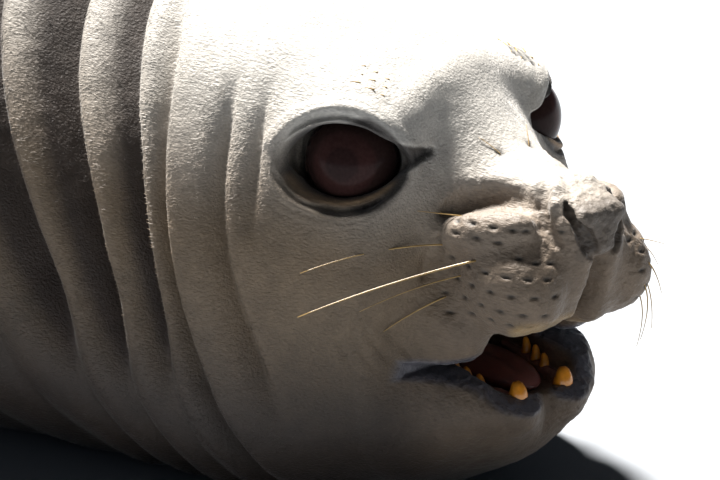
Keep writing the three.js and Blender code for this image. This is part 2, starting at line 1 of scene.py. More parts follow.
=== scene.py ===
"""A female southern elephant seal lying on her belly, life size, with her mouth a little open.

The form is worked out in millimetres, in the axes of the CAD model: the head looks toward -Y and
is turned a little to the seal's right (-X), +Z is up. Everything made here is moved onto the frame.
"""
import math
import bmesh
import bpy
import numpy as np
from mathutils import Matrix, Vector
from mathutils.bvhtree import BVHTree


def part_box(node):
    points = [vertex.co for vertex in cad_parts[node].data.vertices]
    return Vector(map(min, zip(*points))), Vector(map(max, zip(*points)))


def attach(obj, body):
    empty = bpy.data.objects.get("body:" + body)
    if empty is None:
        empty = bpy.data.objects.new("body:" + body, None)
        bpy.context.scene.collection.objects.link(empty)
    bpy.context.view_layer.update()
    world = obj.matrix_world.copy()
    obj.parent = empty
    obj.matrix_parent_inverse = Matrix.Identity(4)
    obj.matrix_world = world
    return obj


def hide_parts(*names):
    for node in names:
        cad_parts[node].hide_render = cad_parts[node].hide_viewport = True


# Sizes that follow the CAD model, nearly all the same

EYE_HEIGHT = 262
HEAD_PLACE = np.array([-55.0, -1240.0, EYE_HEIGHT])
HEAD_TURN = 14
EYE_CENTRE = (-14, 80, -5)
EYE_RADIUS = 34
EYE_LOOK = (0.56, 0.8, 0.18)
EYE_OPENING_BACK = 2
LID_DEPTH = 4
EYE_OPENING_UP = 2
SKIN_OPENING = (36, 24)  # the gap between the lids of the skin, a little wider than the solid's
LID_THICKNESS = 3.5

# Head masses: centre, radii, outward turn, front lift, blend with the masses before it
UPPER_HEAD = {
    "cranium": ((-74, 0, -14), (116, 106, 85), 0, 0, 0),
    "nape": ((-200, 0, -24), (150, 146, 122), 0, 0, 80),
    "cheek": ((-48, 60, -84), (98, 70, 80), 0, 0, 50),
    "bridge": ((62, 0, -40), (100, 50, 46), 0, -6, 36),
    "muzzle": ((68, 0, -68), (86, 56, 52), 0, 0, 24),
    "forehead": ((4, 0, -9), (76, 38, 46), 0, -24, 24),
    "eye_mound": ((-22, 76, -4), (36, 37, 37), 0, 0, 22),
    "brow": ((-20, 62, 25), (40, 26, 19), 25, 0, 25),
    "lip_corner": ((50, 48, -116), (46, 26, 36), 10, 8, 22),
    "whisker_pad": ((100, 38, -73), (57, 33, 42), 8, -8, 12),
    "lip_front": ((116, 15, -88), (29, 23, 28), 0, -12, 12),
    "nose": ((124, 0, -32), (34, 29, 26), 0, -16, 14),
    "pad_crest": ((97, 54, -37), (37, 14, 15), -17, 16, 14),
}
LOWER_JAW = {
    "chin": ((80, 24, -177), (36, 26, 25), 0, 0, 0),
    "lower_lip": ((74, 37, -164), (34, 17, 18), 12, -22, 10),
    "chin_base": ((40, 0, -188), (60, 56, 42), 0, 0, 14),
    "ramus": ((10, 46, -164), (82, 32, 44), 8, -8, 18),
    "throat": ((-80, 0, -190), (150, 132, 74), 0, 0, 50),
}
NECK_BLEND = 70

# The lips' lines seen from the side, forward and up
MOUTH_CORNER = (54, -144)
UPPER_LIP = (
    (54, -143.5), (70, -143), (85, -139), (100, -132), (116, -119),
    (127, -109), (138, -102), (150, -101), (190, -101),
)
LIP_SAG = 16  # the front of the upper lip hangs this much lower on the left side
LOWER_LIP = ((54, -144.5), (75, -147), (88, -151), (100, -161), (112, -169), (122, -173), (190, -175))
MOUTH_HOLLOW = ((52, 0, -140), (57, 42, 33))
GUM_RIDGE = (  # forward, sideways, up, radius
    (104, 10, -178, 5), (96, 22, -173, 7), (84, 29, -169, 6.5),
    (66, 32, -168, 6), (44, 34, -164, 5.5), (24, 35, -160, 4),
)

# Trunk sections: place along Y, middle in X, bottom, top, half width
TRUNK = (
    (-1240, -60, 30, 310, 104), (-1160, -54, -16, 345, 154), (-1070, -40, -24, 376, 182),
    (-970, -24, -26, 402, 206), (-850, -9, -28, 438, 240), (-700, 0, -30, 478, 294),
    (-480, 0, -34, 512, 346), (-230, 0, -36, 520, 368), (40, 0, -36, 498, 362),
    (300, 0, -34, 446, 330), (540, 0, -30, 374, 278),
    (760, 0, -24, 292, 214), (940, 0, -14, 214, 152), (1060, 0, 0, 158, 108), (1130, 0, 16, 122, 84),
    (1180, 0, 26, 92, 46), (1225, 0, 32, 70, 26), (1260, 0, 38, 58, 12),
)
WIDEST = 0.42
ROUND_ABOVE = 2.1
ROUND_BELOW = 2.6

# Deep creases of the neck: distance behind the eyes, depth, half width
CREASES = ((138, 26, 19), (190, 36, 26), (250, 34, 29), (314, 26, 29), (384, 18, 28), (460, 11, 28))
CREASE_SLOPES = (0.28, 0.53)  # millimetres back for each one up, at the head and at the neck
CREASE_SLOPES_FROM = 80  # behind the eyes
CREASE_SLOPES_OVER = 120

# Flippers
FORE = ((258, -700), 24)  # root, and heading outward in degrees
HIND = ((58, 1085), 8)
FORE_SECTIONS = (  # along, half width, top, sideways shift
    (-60, 40, 150, 0), (0, 66, 130, 0), (60, 76, 100, 2), (140, 80, 66, 6),
    (230, 80, 46, 9), (310, 72, 34, 10), (380, 54, 26, 8), (424, 24, 19, 2),
)
FORE_BOTTOM = -8
# Across, reach and splay
FORE_DIGITS = ((-52, 366, -14), (-26, 394, -7), (2, 408, 0), (28, 400, 6), (50, 376, 12))
# Across at the start, across at the end, and length
HIND_DIGITS = ((-28, -72, 402), (-14, -36, 360), (2, 2, 340), (18, 42, 364), (34, 88, 430))
DIGIT_RADII = (26, 14)
DIGIT_LEVEL = 13
WEB_RADII = (18, 7)
WEB_MIDDLE = (3, 8)
WEB_HALF = (34, 82)
WEB_ROOT = 20
WEB_NOTCH = 342
WEB_LOBES = 66

# Sizes of the skin's own folds and of the coat

COAT_DEPTH = (1.4, 2.6)  # the skin lies this far inside the solids, on the face and on the body
SHALLOW_CREASES = ((36, 6, 7), (60, 9, 8), (107, 13, 10))  # behind the eyes, on the sides only
GRID_LEAN = 17  # degrees the rows of the skin's mesh lean back at the head and neck
JOINS = (215, 430)  # behind the eyes, where the skin's mesh changes its fineness
REAR_JOIN = 900
CELLS = (2.3, 3.6, 8.8, 4.8)  # mesh fineness of the head, neck, trunk and rear
GRID_ENDS = (-1452, 1560)
GRID_WIDTHS = ((-290, 190), (-420, 330), (-600, 600), (-330, 330))
GRID_HEIGHTS = (420, 500, 560, 260)
LEAN_FROM = -250  # the rows lean fully in front of this place less the next
LEAN_OVER = 400

SIDES = {"right": -1, "left": 1}

# Small sums


def smooth(t):
    t = np.clip(t, 0, 1)
    return t * t * (3 - 2 * t)


def rise(x, start, span):
    """From 0 to 1, beginning at a place"""
    return smooth((x - start) / span)


def fall(x, end, span):
    """From 1 to 0, ending at a place"""
    return smooth((end - x) / span)


def smooth_min(a, b, k):
    h = np.maximum(k - np.abs(a - b), 0) / k
    return np.minimum(a, b) - h * h * k * 0.25


def smooth_max(a, b, k):
    return -smooth_min(-a, -b, k)


def bell(x, middle, width):
    return np.exp(-(((x - middle) / width) ** 2))


def unit(v):
    v = np.asarray(v, float)
    return v / np.maximum(np.linalg.norm(v, axis=-1, keepdims=True), 1e-9)


def curve_at(rows, place, column=1):
    """A smooth curve through rows of (place, value, ...), read at places"""
    rows = np.array(rows, float)
    xs, vs = rows[:, 0], rows[:, column]
    slope = np.diff(vs) / np.diff(xs)
    tangent = np.concatenate([slope[:1], (slope[1:] + slope[:-1]) / 2, slope[-1:]])
    x = np.clip(place, xs[0], xs[-1])
    i = np.clip(np.searchsorted(xs, x, side="right") - 1, 0, len(xs) - 2)
    span = xs[i + 1] - xs[i]
    t = (x - xs[i]) / span
    rise = (3 - 2 * t) * t * t
    bend = t * (1 - t) * span
    return vs[i] * (1 - rise) + vs[i + 1] * rise + bend * ((1 - t) * tangent[i] - t * tangent[i + 1])


def lattice(i, j, k, seed):
    """A number from 0 to 1 for each whole-number place"""
    n = (i * 374761393 + j * 668265263 + k * 2147483647 + seed * 1274126177) & 0xFFFFFFFF
    n = ((n ^ (n >> 13)) * 1274126177) & 0xFFFFFFFF
    return ((n ^ (n >> 16)) & 0xFFFF) / 65535.0


def noise(p, size, seed=0):
    """Smooth noise from -1 to 1, with features about one size across"""
    q = np.asarray(p, float) / size
    base = np.floor(q).astype(np.int64)
    t = q - base
    t = t * t * (3 - 2 * t)
    total = 0
    for a in (0, 1):
        for b in (0, 1):
            for c in (0, 1):
                corner = lattice(base[:, 0] + a, base[:, 1] + b, base[:, 2] + c, seed)
                weight = (t[:, 0] if a else 1 - t[:, 0]) * (t[:, 1] if b else 1 - t[:, 1])
                total = total + corner * weight * (t[:, 2] if c else 1 - t[:, 2])
    return total * 2 - 1


# Head axes

TURN = math.radians(HEAD_TURN)
LEAN = math.radians(GRID_LEAN)
FORWARD = np.array([-math.sin(TURN), -math.cos(TURN), 0])
LEFT = np.array([math.cos(TURN), -math.sin(TURN), 0])
UP = np.array([0.0, 0, 1])
HEAD_AXES = np.stack([FORWARD, LEFT, UP])


def to_head(p):
    return (p - HEAD_PLACE) @ HEAD_AXES.T


def from_head(q):
    return np.asarray(q, float) @ HEAD_AXES + HEAD_PLACE


def mirrored(q):
    m = q.copy()
    m[:, 1] = np.abs(m[:, 1])
    return m


def head_places(p):
    """Places in the head's axes, and the same with the right side folded onto the left"""
    q = to_head(p)
    return q, mirrored(q)


EYE_OUT = unit(EYE_LOOK)
EYE_ALONG = unit(np.cross(EYE_OUT, UP))
EYE_ALONG = EYE_ALONG * np.sign(EYE_ALONG[0])
EYE_OVER = unit(np.cross(EYE_OUT, EYE_ALONG))
EYE_OVER = EYE_OVER * np.sign(EYE_OVER[2])


def eye_distance(m):
    return np.linalg.norm(m - np.array(EYE_CENTRE, float), axis=1)


def to_eye(m):
    """Along the lids toward the nose, over them, and out of the eye, for mirrored head places"""
    d = m - np.array(EYE_CENTRE, float)
    return d @ EYE_ALONG, d @ EYE_OVER, d @ EYE_OUT


# Form fields: below zero inside, about the distance to the surface


def ellipsoid(q, centre, radii, outward=0, lift=0):
    a, b = math.radians(outward), math.radians(lift)
    d = q - np.array(centre, np.float32)
    along = d[:, 0] * math.cos(a) + d[:, 1] * math.sin(a)
    turned = (
        along * math.cos(b) + d[:, 2] * math.sin(b),
        -d[:, 0] * math.sin(a) + d[:, 1] * math.cos(a),
        -along * math.sin(b) + d[:, 2] * math.cos(b),
    )
    k0 = np.sqrt(sum((v / r) ** 2 for v, r in zip(turned, radii))) + 1e-6
    k1 = np.sqrt(sum((v / r**2) ** 2 for v, r in zip(turned, radii))) + 1e-9
    return k0 * (k0 - 1) / k1


def masses(m, table):
    total = None
    for centre, radii, outward, lift, blend in table.values():
        d = ellipsoid(m, centre, radii, outward, lift)
        total = d if total is None else smooth_min(total, d, blend)
    return total


def rod(q, start, end, radius_start, radius_end):
    start, end = np.array(start, float), np.array(end, float)
    axis = end - start
    t = np.clip((q - start) @ axis / (axis @ axis), 0, 1)
    distance = np.linalg.norm(q - start - t[:, None] * axis, axis=1)
    return distance - (radius_start + (radius_end - radius_start) * t)


def path_rod(q, points, blend=2):
    """A rod along several points, each with its radius last"""
    total = None
    for (*a, ra), (*b, rb) in zip(points, points[1:]):
        d = rod(q, a, b, ra, rb)
        total = d if total is None else smooth_min(total, d, blend)
    return total


def section(across, up, half, top, bottom, widest=WIDEST, above=ROUND_ABOVE, below=ROUND_BELOW):
    middle = bottom + widest * (top - bottom)
    dz = up - middle
    reach = np.where(dz > 0, top - middle, middle - bottom)
    n = np.where(dz > 0, above, below)
    g = ((np.abs(across) / half) ** n + (np.abs(dz) / reach) ** n) ** (1 / n) + 1e-6
    return np.hypot(across, dz) * (1 - 1 / g)


def with_ends(side, beyond):
    return np.where(beyond > 0, np.hypot(np.maximum(side, 0), beyond), side)


def trunk(p):
    y = p[:, 1]
    middle, bottom, top, half = (curve_at(TRUNK, y, i) for i in (1, 2, 3, 4))
    side = section(p[:, 0] - middle, p[:, 2], half, top, bottom)
    return with_ends(side, np.maximum(np.maximum(TRUNK[0][0] - y, y - TRUNK[-1][0]), 0))


def crease_place(q):
    """How far behind the eyes the crease through a place crosses the level just under them"""
    front, back = CREASE_SLOPES
    slope = front + (back - front) * smooth((-q[:, 0] - CREASE_SLOPES_FROM) / CREASE_SLOPES_OVER)
    return -q[:, 0] - slope * (q[:, 2] + 20)


def one_crease(s, at, deep, wide):
    """A broad dip with a narrow cleft in its middle"""
    t = np.abs(s - at) / wide
    return deep * (0.42 * np.exp(-t * t) + 0.58 * np.exp(-((2.3 * t) ** 1.5)))


def crease_depth(q):
    s = crease_place(q)
    share = 0.25 + 0.75 * rise(q[:, 2], -190, 90)
    return sum(one_crease(s, *crease) for crease in CREASES) * share


def side_crease_depth(q):
    """Shallow creases that cross only the sides of the neck, bowed back in their middle"""
    angle = np.degrees(np.arctan2(q[:, 2] + 60, np.abs(q[:, 1]) + 1e-6))
    s = crease_place(q) - 4 * smooth(1 - np.abs(angle) / 50)
    total = 0
    for i, (at, deep, wide) in enumerate(SHALLOW_CREASES):
        middle, reach = ((24, 26), (0, 46), (-4, 66))[i]
        total = total + one_crease(s, at, deep, wide) * smooth((reach - np.abs(angle - middle)) / 24)
    return total


def mouth_gap(q):
    f, l, u = q.T
    top = curve_at(UPPER_LIP, f) - LIP_SAG * rise(f, 112, 24) * rise(l, -12, 26)
    return np.maximum(np.maximum(u - top, curve_at(LOWER_LIP, f) - u), MOUTH_CORNER[0] - f)


def mouth_hollow(m):
    centre, radii = MOUTH_HOLLOW
    d = m - np.array(centre, float)
    plan = ((np.abs(d[:, 0]) / radii[0]) ** 4 + (np.abs(d[:, 1]) / radii[1]) ** 4) ** 0.25
    g = (plan**3 + (np.abs(d[:, 2]) / radii[2]) ** 3) ** (1 / 3) + 1e-6
    return np.linalg.norm(d, axis=1) * (1 - 1 / g)


def lid_gap(m):
    """Below zero between the lids, seen along the eye's look"""
    along, over, out = to_eye(m)
    a, b = along + EYE_OPENING_BACK, over - EYE_OPENING_UP
    oval = np.hypot(a, b) * (1 - 1 / (np.hypot(a / SKIN_OPENING[0], b / SKIN_OPENING[1]) + 1e-6))
    return oval, along, over, out


def tear_corner(m):
    """From 0 to 1 in the furrow that runs from the lids' front end toward the nose"""
    _, along, over, out = lid_gap(m)
    flat = np.stack([along, over, np.zeros(len(m))], 1)
    furrow = rod(flat, (18, 2, 0), (57, 11, 0), 17, 0.5)
    return smooth(1 - furrow / 5) * smooth(out / 10)


def lid_bowl(m):
    """The skin round the eye comes down to just above the eyeball"""
    gap, along, over, out = lid_gap(m)
    distance = np.linalg.norm(np.stack([along, over, out], 1), axis=1)
    beyond = np.maximum(gap - 1, 0)
    steep = 1.4 + 1.2 * smooth(over / 24) + 1.6 * rise(-along, 8, 20)
    bowl = distance - (EYE_RADIUS + LID_THICKNESS + steep * beyond + 0.03 * beyond**2)
    return np.where(out > 0, bowl, -99)


def lid_folds(m):
    """One furrow under the lower lid, a faint one over the upper, and a rim along the lids' edges"""
    gap, along, over, out = lid_gap(m)
    below = rise(-over, 2, 14) * fall(along, 36, 12)
    above = rise(over, 4, 12)
    total = 4.5 * bell(gap, 10, 1.8) * below + 3.2 * bell(gap, 8, 2.4) * above
    total -= 1.8 * bell(gap, 4, 2.6) + 2.0 * bell(gap, 16, 5) * above
    return total * smooth(out / 14)


# Nose and whisker pads: paths in head places, for one side
NOSE_BLOCK = ((129, 0, -31), (20, 14, 13), 10, -14)  # centre, half sizes, rounding, front lift
NOSTRIL = (  # this path and the next four have a radius last
    (132, 17, -13, 1), (138, 19, -16, 1.8), (145, 20, -21, 2.6), (152, 19, -27, 3.4),
    (156, 17, -34, 4.2), (158, 14, -41, 4.6), (159, 12, -47, 3),
)
WING = ((119, 8, -4, 4), (126, 16, -10, 7), (133, 21, -18, 8), (141, 22, -28, 7), (148, 20, -38, 5))
WING_FURROW = (
    (108, 4, 6, 1), (117, 15, 3, 3), (122, 25, -7, 4), (125, 31, -17, 4.5), (133, 33, -29, 3.5),
    (143, 31, -40, 1.5),
)
PAD_FURROW = (
    (48, 60, -38, 2), (68, 47, -23, 7.5), (88, 40, -17, 8.5), (106, 36, -15, 7), (120, 33, -17, 3),
)
PAD_BACK = ((64, 66, -46, 1), (55, 73, -64, 5), (49, 75, -88, 4.5), (47, 75, -106, 1))
BROW_SPOT = (3, 74, 58)  # the middle of the group of whisker pits over the eye
WRINKLE_CENTRE = (84, 60, -112)  # behind the mouth's corner the wrinkles run round this place
CHEEK_WRINKLES = ((38, 1.3), (45, 1.6), (53, 1.5), (62, 1.0))  # radius and depth
PIT_DEPTH = 1.8


def block(q, centre, half, rounding, lift):
    """A box with rounded edges"""
    b = math.radians(lift)
    d = q - np.array(centre, float)
    turned = np.stack([d[:, 0] * math.cos(b) + d[:, 2] * math.sin(b), d[:, 1],
                       d[:, 2] * math.cos(b) - d[:, 0] * math.sin(b)], 1)
    beyond = np.abs(turned) - np.array(half, float)
    return np.linalg.norm(np.maximum(beyond, 0), axis=1) + np.minimum(beyond.max(1), 0) - rounding


def nose_form(m, upper):
    f, l, u = m.T
    form = smooth_max(upper, -path_rod(m, PAD_FURROW), 10)
    form = smooth_max(form, -path_rod(m, PAD_BACK), 8)
    form = smooth_min(form, block(m, *NOSE_BLOCK), 8)
    form = smooth_min(form, path_rod(m, WING, 6), 5)
    form = smooth_max(form, -path_rod(m, WING_FURROW), 4)
    form = smooth_max(form, -path_rod(m, NOSTRIL), 2.5)
    groove = bell(l, 0, 8) * fall(u, -44, 16) * rise(f, 100, 24)
    return form + (16 + 9 * fall(u, -68, 20)) * groove


def lids_form(m, head):
    form = smooth_max(head, lid_bowl(m), 8) + lid_folds(m) + 5 * tear_corner(m)
    gap, _, _, out = lid_gap(m)
    return smooth_max(form, -np.maximum(gap, LID_DEPTH - out), 3)


def head_form(q, p_trunk):
    m = mirrored(q)
    gap = mouth_gap(q)
    upper = masses(m, UPPER_HEAD)
    near_nose = np.flatnonzero((m[:, 0] > 30) & (m[:, 2] > -130))
    if len(near_nose):
        upper[near_nose] = nose_form(m[near_nose], upper[near_nose])
    upper = smooth_max(smooth_min(upper, p_trunk, NECK_BLEND), -gap, 6)
    lower = smooth_max(smooth_min(masses(m, LOWER_JAW), p_trunk, NECK_BLEND), -gap, 6)
    form = smooth_max(smooth_min(upper, lower, 12), -gap, 5)
    form = smooth_max(form, -mouth_hollow(m), 8)
    form = smooth_min(form, path_rod(m, GUM_RIDGE), 4)
    near_eye = np.flatnonzero(eye_distance(m) < 95)
    if len(near_eye):
        form[near_eye] = lids_form(m[near_eye], form[near_eye])
    ball = eye_distance(m) - (EYE_RADIUS + 0.3)
    return np.maximum(form, -ball) + crease_depth(q) + side_crease_depth(q)


def flipper_axes(flipper, side):
    root, heading = flipper
    a = math.radians(heading) * side
    along = np.array([math.sin(a), math.cos(a), 0])
    across = np.array([math.cos(a), -math.sin(a), 0]) * side
    return np.array([root[0] * side, root[1], 0.0]), np.stack([along, across, UP])


def to_flipper(p, flipper, side):
    origin, axes = flipper_axes(flipper, side)
    return (p - origin) @ axes.T


def from_flipper(q, flipper, side):
    origin, axes = flipper_axes(flipper, side)
    return np.asarray(q, float) @ axes + origin


def fore_form(q):
    t = q[:, 0]
    half, top, shift = (curve_at(FORE_SECTIONS, t, i) for i in (1, 2, 3))
    side = section(q[:, 1] - shift, q[:, 2], half, top, FORE_BOTTOM, 0.3, 2, 2.4)
    form = with_ends(side, np.maximum(np.maximum(FORE_SECTIONS[0][0] - t, t - FORE_SECTIONS[-1][0]), 0))
    for across, reach, splay in FORE_DIGITS:
        a = math.radians(splay)
        digit = rod(q, (reach - 190, across * 0.75, 22), (reach - 6, across - 2 * a, 12), 13, 9)
        form = smooth_min(form, digit, 16)
    return form


def hind_form(q):
    t, c, u = q.T
    form = rod(q, (-90, -12, 66), (70, 2, 40), 60, 36)
    for start, end, length in HIND_DIGITS:
        form = smooth_min(form, rod(q, (60, start, 28), (length, end, DIGIT_LEVEL), *DIGIT_RADII), 8)
    along = np.clip((t - WEB_ROOT) / (WEB_NOTCH - WEB_ROOT), 0, 1.3)
    middle = WEB_MIDDLE[0] + (WEB_MIDDLE[1] - WEB_MIDDLE[0]) * along
    half = WEB_HALF[0] + (WEB_HALF[1] - WEB_HALF[0]) * along
    thick = WEB_RADII[0] + (WEB_RADII[1] - WEB_RADII[0]) * along
    share = np.clip((c - middle) / half, -1, 1)
    end = WEB_NOTCH + WEB_LOBES * share**2
    web = np.maximum(np.maximum(np.abs(c - middle) - half, np.abs(u - DIGIT_LEVEL) - thick),
                     np.maximum(t - end, WEB_ROOT - t))
    return smooth_min(form, web, 5)


def body_form(p):
    """The whole seal, without the coat's depth taken off"""
    q = to_head(p)
    form = trunk(p)
    near = q[:, 0] > -640
    if near.any():
        ahead = np.flatnonzero(near)
        form[ahead] = head_form(q[ahead], form[ahead])
    y, z = p[:, 1], p[:, 2]
    for side in SIDES.values():
        x = p[:, 0] * side
        for reached, flipper, flipper_form, joint in (
            ((y > -900) & (y < -150) & (x > 110) & (z < 330), FORE, fore_form, 34),
            ((y > 850) & (x > -120), HIND, hind_form, 16),
        ):
            near = np.flatnonzero(reached)
            if len(near):
                limb = flipper_form(to_flipper(p[near], flipper, side))
                form[near] = smooth_min(form[near], limb, joint)
    return form


def coat_depth(p):
    return COAT_DEPTH[0] + (COAT_DEPTH[1] - COAT_DEPTH[0]) * rise(p[:, 1], -1150, 250)


def skin_form(p):
    return np.maximum(body_form(p) + coat_depth(p), -p[:, 2])


# Surfaces from fields, on a grid whose rows lean with the creases in front


def leaned(v):
    share = fall(v[:, 1], LEAN_FROM, LEAN_OVER)
    across = -math.tan(TURN) * (v[:, 0] - HEAD_PLACE[0])
    over = math.tan(LEAN) / math.cos(TURN) * (v[:, 2] - HEAD_PLACE[2])
    out = np.array(v, float)
    out[:, 1] += share * (across + over)
    return out


def join_row(s):
    """The grid's Y for a distance behind the eyes"""
    return HEAD_PLACE[1] + (s + 20 * math.sin(LEAN)) / (math.cos(LEAN) * math.cos(TURN))


def grid_line(start, stop, step):
    return np.linspace(start, stop, max(2, int(round((stop - start) / step)) + 1))


CORNERS = [(a, b, c) for a in (0, 1) for b in (0, 1) for c in (0, 1)]


def shifted(grid, corner):
    return grid[tuple(slice(o, n - 1 + o) for o, n in zip(corner, grid.shape))]


def grid_values(field, lines, coarse=4):
    """The field on the grid: worked out only near the surface, and only its sign elsewhere"""
    shape = tuple(len(line) for line in lines)
    picks = [np.unique(np.append(np.arange(0, n, coarse), n - 1)) for n in shape]
    places = np.stack(np.meshgrid(*[line[i] for line, i in zip(lines, picks)], indexing="ij"), -1)
    rough = field(places.reshape(-1, 3)).reshape(places.shape[:3])
    corners = np.stack([shifted(rough, corner) for corner in CORNERS])
    steps = [np.diff(line[i]) for line, i in zip(lines, picks)]
    dx, dy, dz = np.meshgrid(*steps, indexing="ij")
    size = np.sqrt(dx**2 + dy**2 + dz**2)
    close = (np.abs(corners).min(0) < 1.3 * size) | ((corners.min(0) < 0) & (corners.max(0) > 0))
    sign = np.where(corners.min(0) < 0, -1e3, 1e3)
    for axis, index in enumerate(picks):
        close = np.repeat(close, np.diff(index), axis=axis)
        sign = np.repeat(sign, np.diff(index), axis=axis)
    values = np.full(shape, 1e3, np.float32)
    values[:-1, :-1, :-1] = sign
    wanted = np.zeros(shape, bool)
    for corner in CORNERS:
        part = tuple(slice(o, n - 1 + o) for o, n in zip(corner, shape))
        wanted[part] |= close
    index = np.flatnonzero(wanted)
    flat = values.reshape(-1)
    for part in np.array_split(index, max(1, len(index) // 300000)):
        ijk = np.unravel_index(part, shape)
        flat[part] = field(np.stack([line[i] for line, i in zip(lines, ijk)], 1))
    return values


def surface(field, lines):
    """Surface nets: one vertex in each cell that the surface crosses, one quad for each crossed edge"""
    values = grid_values(field, lines)
    shape = values.shape
    inside = values < 0
    count = sum(shifted(inside, corner).astype(np.uint8) for corner in CORNERS)
    cells = np.nonzero((count > 0) & (count < 8))
    ids = np.full(count.shape, -1, np.int64)
    ids[cells] = np.arange(len(cells[0]))
    total = np.zeros((len(cells[0]), 3))
    number = np.zeros(len(cells[0]))
    value = {c: values[tuple(i + o for i, o in zip(cells, c))] for c in CORNERS}
    place = {c: np.stack([line[i + o] for line, i, o in zip(lines, cells, c)], 1) for c in CORNERS}
    for corner in CORNERS:
        for axis in range(3):
            if corner[axis]:
                continue
            other = tuple(1 if i == axis else o for i, o in enumerate(corner))
            crossed = (value[corner] < 0) != (value[other] < 0)
            t = np.where(crossed, value[corner] / np.where(crossed, value[corner] - value[other], 1), 0)
            point = place[corner] + t[:, None] * (place[other] - place[corner])
            total += np.where(crossed[:, None], point, 0)
            number += crossed
    verts = total / number[:, None]
    quads = []
    for axis in range(3):
        low = tuple(slice(0, n - 1 if i == axis else n) for i, n in enumerate(shape))
        high = tuple(slice(1 if i == axis else 0, n) for i, n in enumerate(shape))
        edges = np.stack(np.nonzero(inside[low] != inside[high]), 1)
        start = inside[low][tuple(edges.T)]
        b, c = [i for i in range(3) if i != axis]
        keep = np.ones(len(edges), bool)
        for i in (b, c):
            keep &= (edges[:, i] > 0) & (edges[:, i] < shape[i] - 1)
        edges, start = edges[keep], start[keep]
        quad = []
        for db, dc in ((-1, -1), (0, -1), (0, 0), (-1, 0)):
            cell = edges.copy()
            cell[:, b] += db
            cell[:, c] += dc
            quad.append(ids[tuple(cell.T)])
        quad = np.stack(quad, 1)
        outward = ~start if axis == 1 else start
        quad[~outward] = quad[~outward][:, ::-1]
        quads.append(quad)
    return verts, np.concatenate(quads)


def drawn_in(field, verts, rounds=2, most=2.5, step=0.3):
    """Moves vertices along the field's slope onto the surface"""
    for _ in range(rounds):
        here = field(verts)
        slope = np.stack([(field(verts + np.eye(3)[i] * step) - here) / step for i in range(3)], 1)
        move = -(here / np.maximum((slope**2).sum(1), 0.05))[:, None] * slope
        length = np.linalg.norm(move, axis=1, keepdims=True)
        verts = verts + move * np.minimum(1, most / np.maximum(length, 1e-9))
    verts[:, 2] = np.maximum(verts[:, 2], 0)
    return verts


def open_loop(quads, keep):
    """The ring of vertices along a mesh's open edge, for vertices that pass a test"""
    edges = np.concatenate([quads[:, [i, (i + 1) % 4]] for i in range(4)])
    key = np.sort(edges, axis=1)
    _, first, counts = np.unique(key, axis=0, return_index=True, return_counts=True)
    single = edges[first[counts == 1]]
    single = single[keep[single].all(1)]
    following = dict(single.tolist())
    loops = []
    while following:
        start = next(iter(following))
        loop = [start]
        while following.get(loop[-1]) is not None:
            step = following.pop(loop[-1])
            if step == start:
                break
            loop.append(step)
        loops.append(loop)
    return max(loops, key=len)


def zipped(verts, loop_a, loop_b):
    """Triangles between two rings of vertices that run opposite ways"""
    b = list(reversed(loop_b))
    start = int(np.argmin(np.linalg.norm(verts[b] - verts[loop_a[0]], axis=1)))
    b = b[start:] + b[:start]
    a = list(loop_a)
    a.append(a[0])
    b.append(b[0])
    faces = []
    i = j = 0
    while i < len(a) - 1 or j < len(b) - 1:
        ahead_a = np.linalg.norm(verts[a[i + 1]] - verts[b[j]]) if i < len(a) - 1 else 1e9
        ahead_b = np.linalg.norm(verts[b[j + 1]] - verts[a[i]]) if j < len(b) - 1 else 1e9
        share_a, share_b = i / (len(a) - 1), j / (len(b) - 1)
        if ahead_a + 40 * max(0, share_a - share_b) <= ahead_b + 40 * max(0, share_b - share_a):
            faces.append((a[i + 1], a[i], b[j]))
            i += 1
        else:
            faces.append((a[i], b[j], b[j + 1]))
            j += 1
    return faces


def whole_surface():
    """The skin's mesh from the muzzle to the hind flippers, finer toward the head"""
    rows = [GRID_ENDS[0], *(join_row(s) for s in JOINS), REAR_JOIN, GRID_ENDS[1]]
    form = lambda v: skin_form(leaned(v))
    verts, quads, loops, count = [], [], [], 0
    for i, cell in enumerate(CELLS):
        lines = [
            grid_line(*GRID_WIDTHS[i], cell),
            grid_line(rows[i], rows[i + 1], cell),
            grid_line(-3 * cell, GRID_HEIGHTS[i], cell),
        ]
        part, faces = surface(form, lines)
        near = lambda row: np.abs(part[:, 1] - row) < cell
        front = open_loop(faces, near(rows[i])) if i else None
        back = open_loop(faces, near(rows[i + 1])) if i < len(CELLS) - 1 else None
        loops.append([None if loop is None else [count + k for k in loop] for loop in (front, back)])
        verts.append(leaned(part))
        quads.append(faces + count)
        count += len(part)
    verts, quads = np.concatenate(verts), np.concatenate(quads)
    seams = []
    for before, after in zip(loops, loops[1:]):
        seams += zipped(verts, before[1], after[0])
    return drawn_in(skin_form, verts), quads.tolist() + seams


# Blender meshes


def new_object(name, data):
    thing = bpy.data.objects.new(name, data)
    bpy.context.scene.collection.objects.link(thing)
    return thing


def new_mesh(name, verts, faces, smooth_shaded=True):
    """A mesh object from places in millimetres of the model"""
    mesh = bpy.data.meshes.new(name)
    mesh.from_pydata(((np.asarray(verts) + SHIFT) * 0.001).tolist(), [], faces)
    mesh.polygons.foreach_set("use_smooth", np.full(len(mesh.polygons), smooth_shaded))
    mesh.update()
    return new_object(name, mesh)


def places(thing):
    mesh = thing.data
    out = np.empty(len(mesh.vertices) * 3, np.float32)
    mesh.vertices.foreach_get("co", out)
    return out.reshape(-1, 3).astype(float) * 1000 - SHIFT


def set_places(thing, verts):
    moved = ((verts + SHIFT) * 0.001).astype(np.float32)
    thing.data.vertices.foreach_set("co", moved.reshape(-1))
    thing.data.update()


def normals(thing):
    out = np.empty(len(thing.data.vertices) * 3, np.float32)
    thing.data.vertex_normals.foreach_get("vector", out)
    return out.reshape(-1, 3).astype(float)


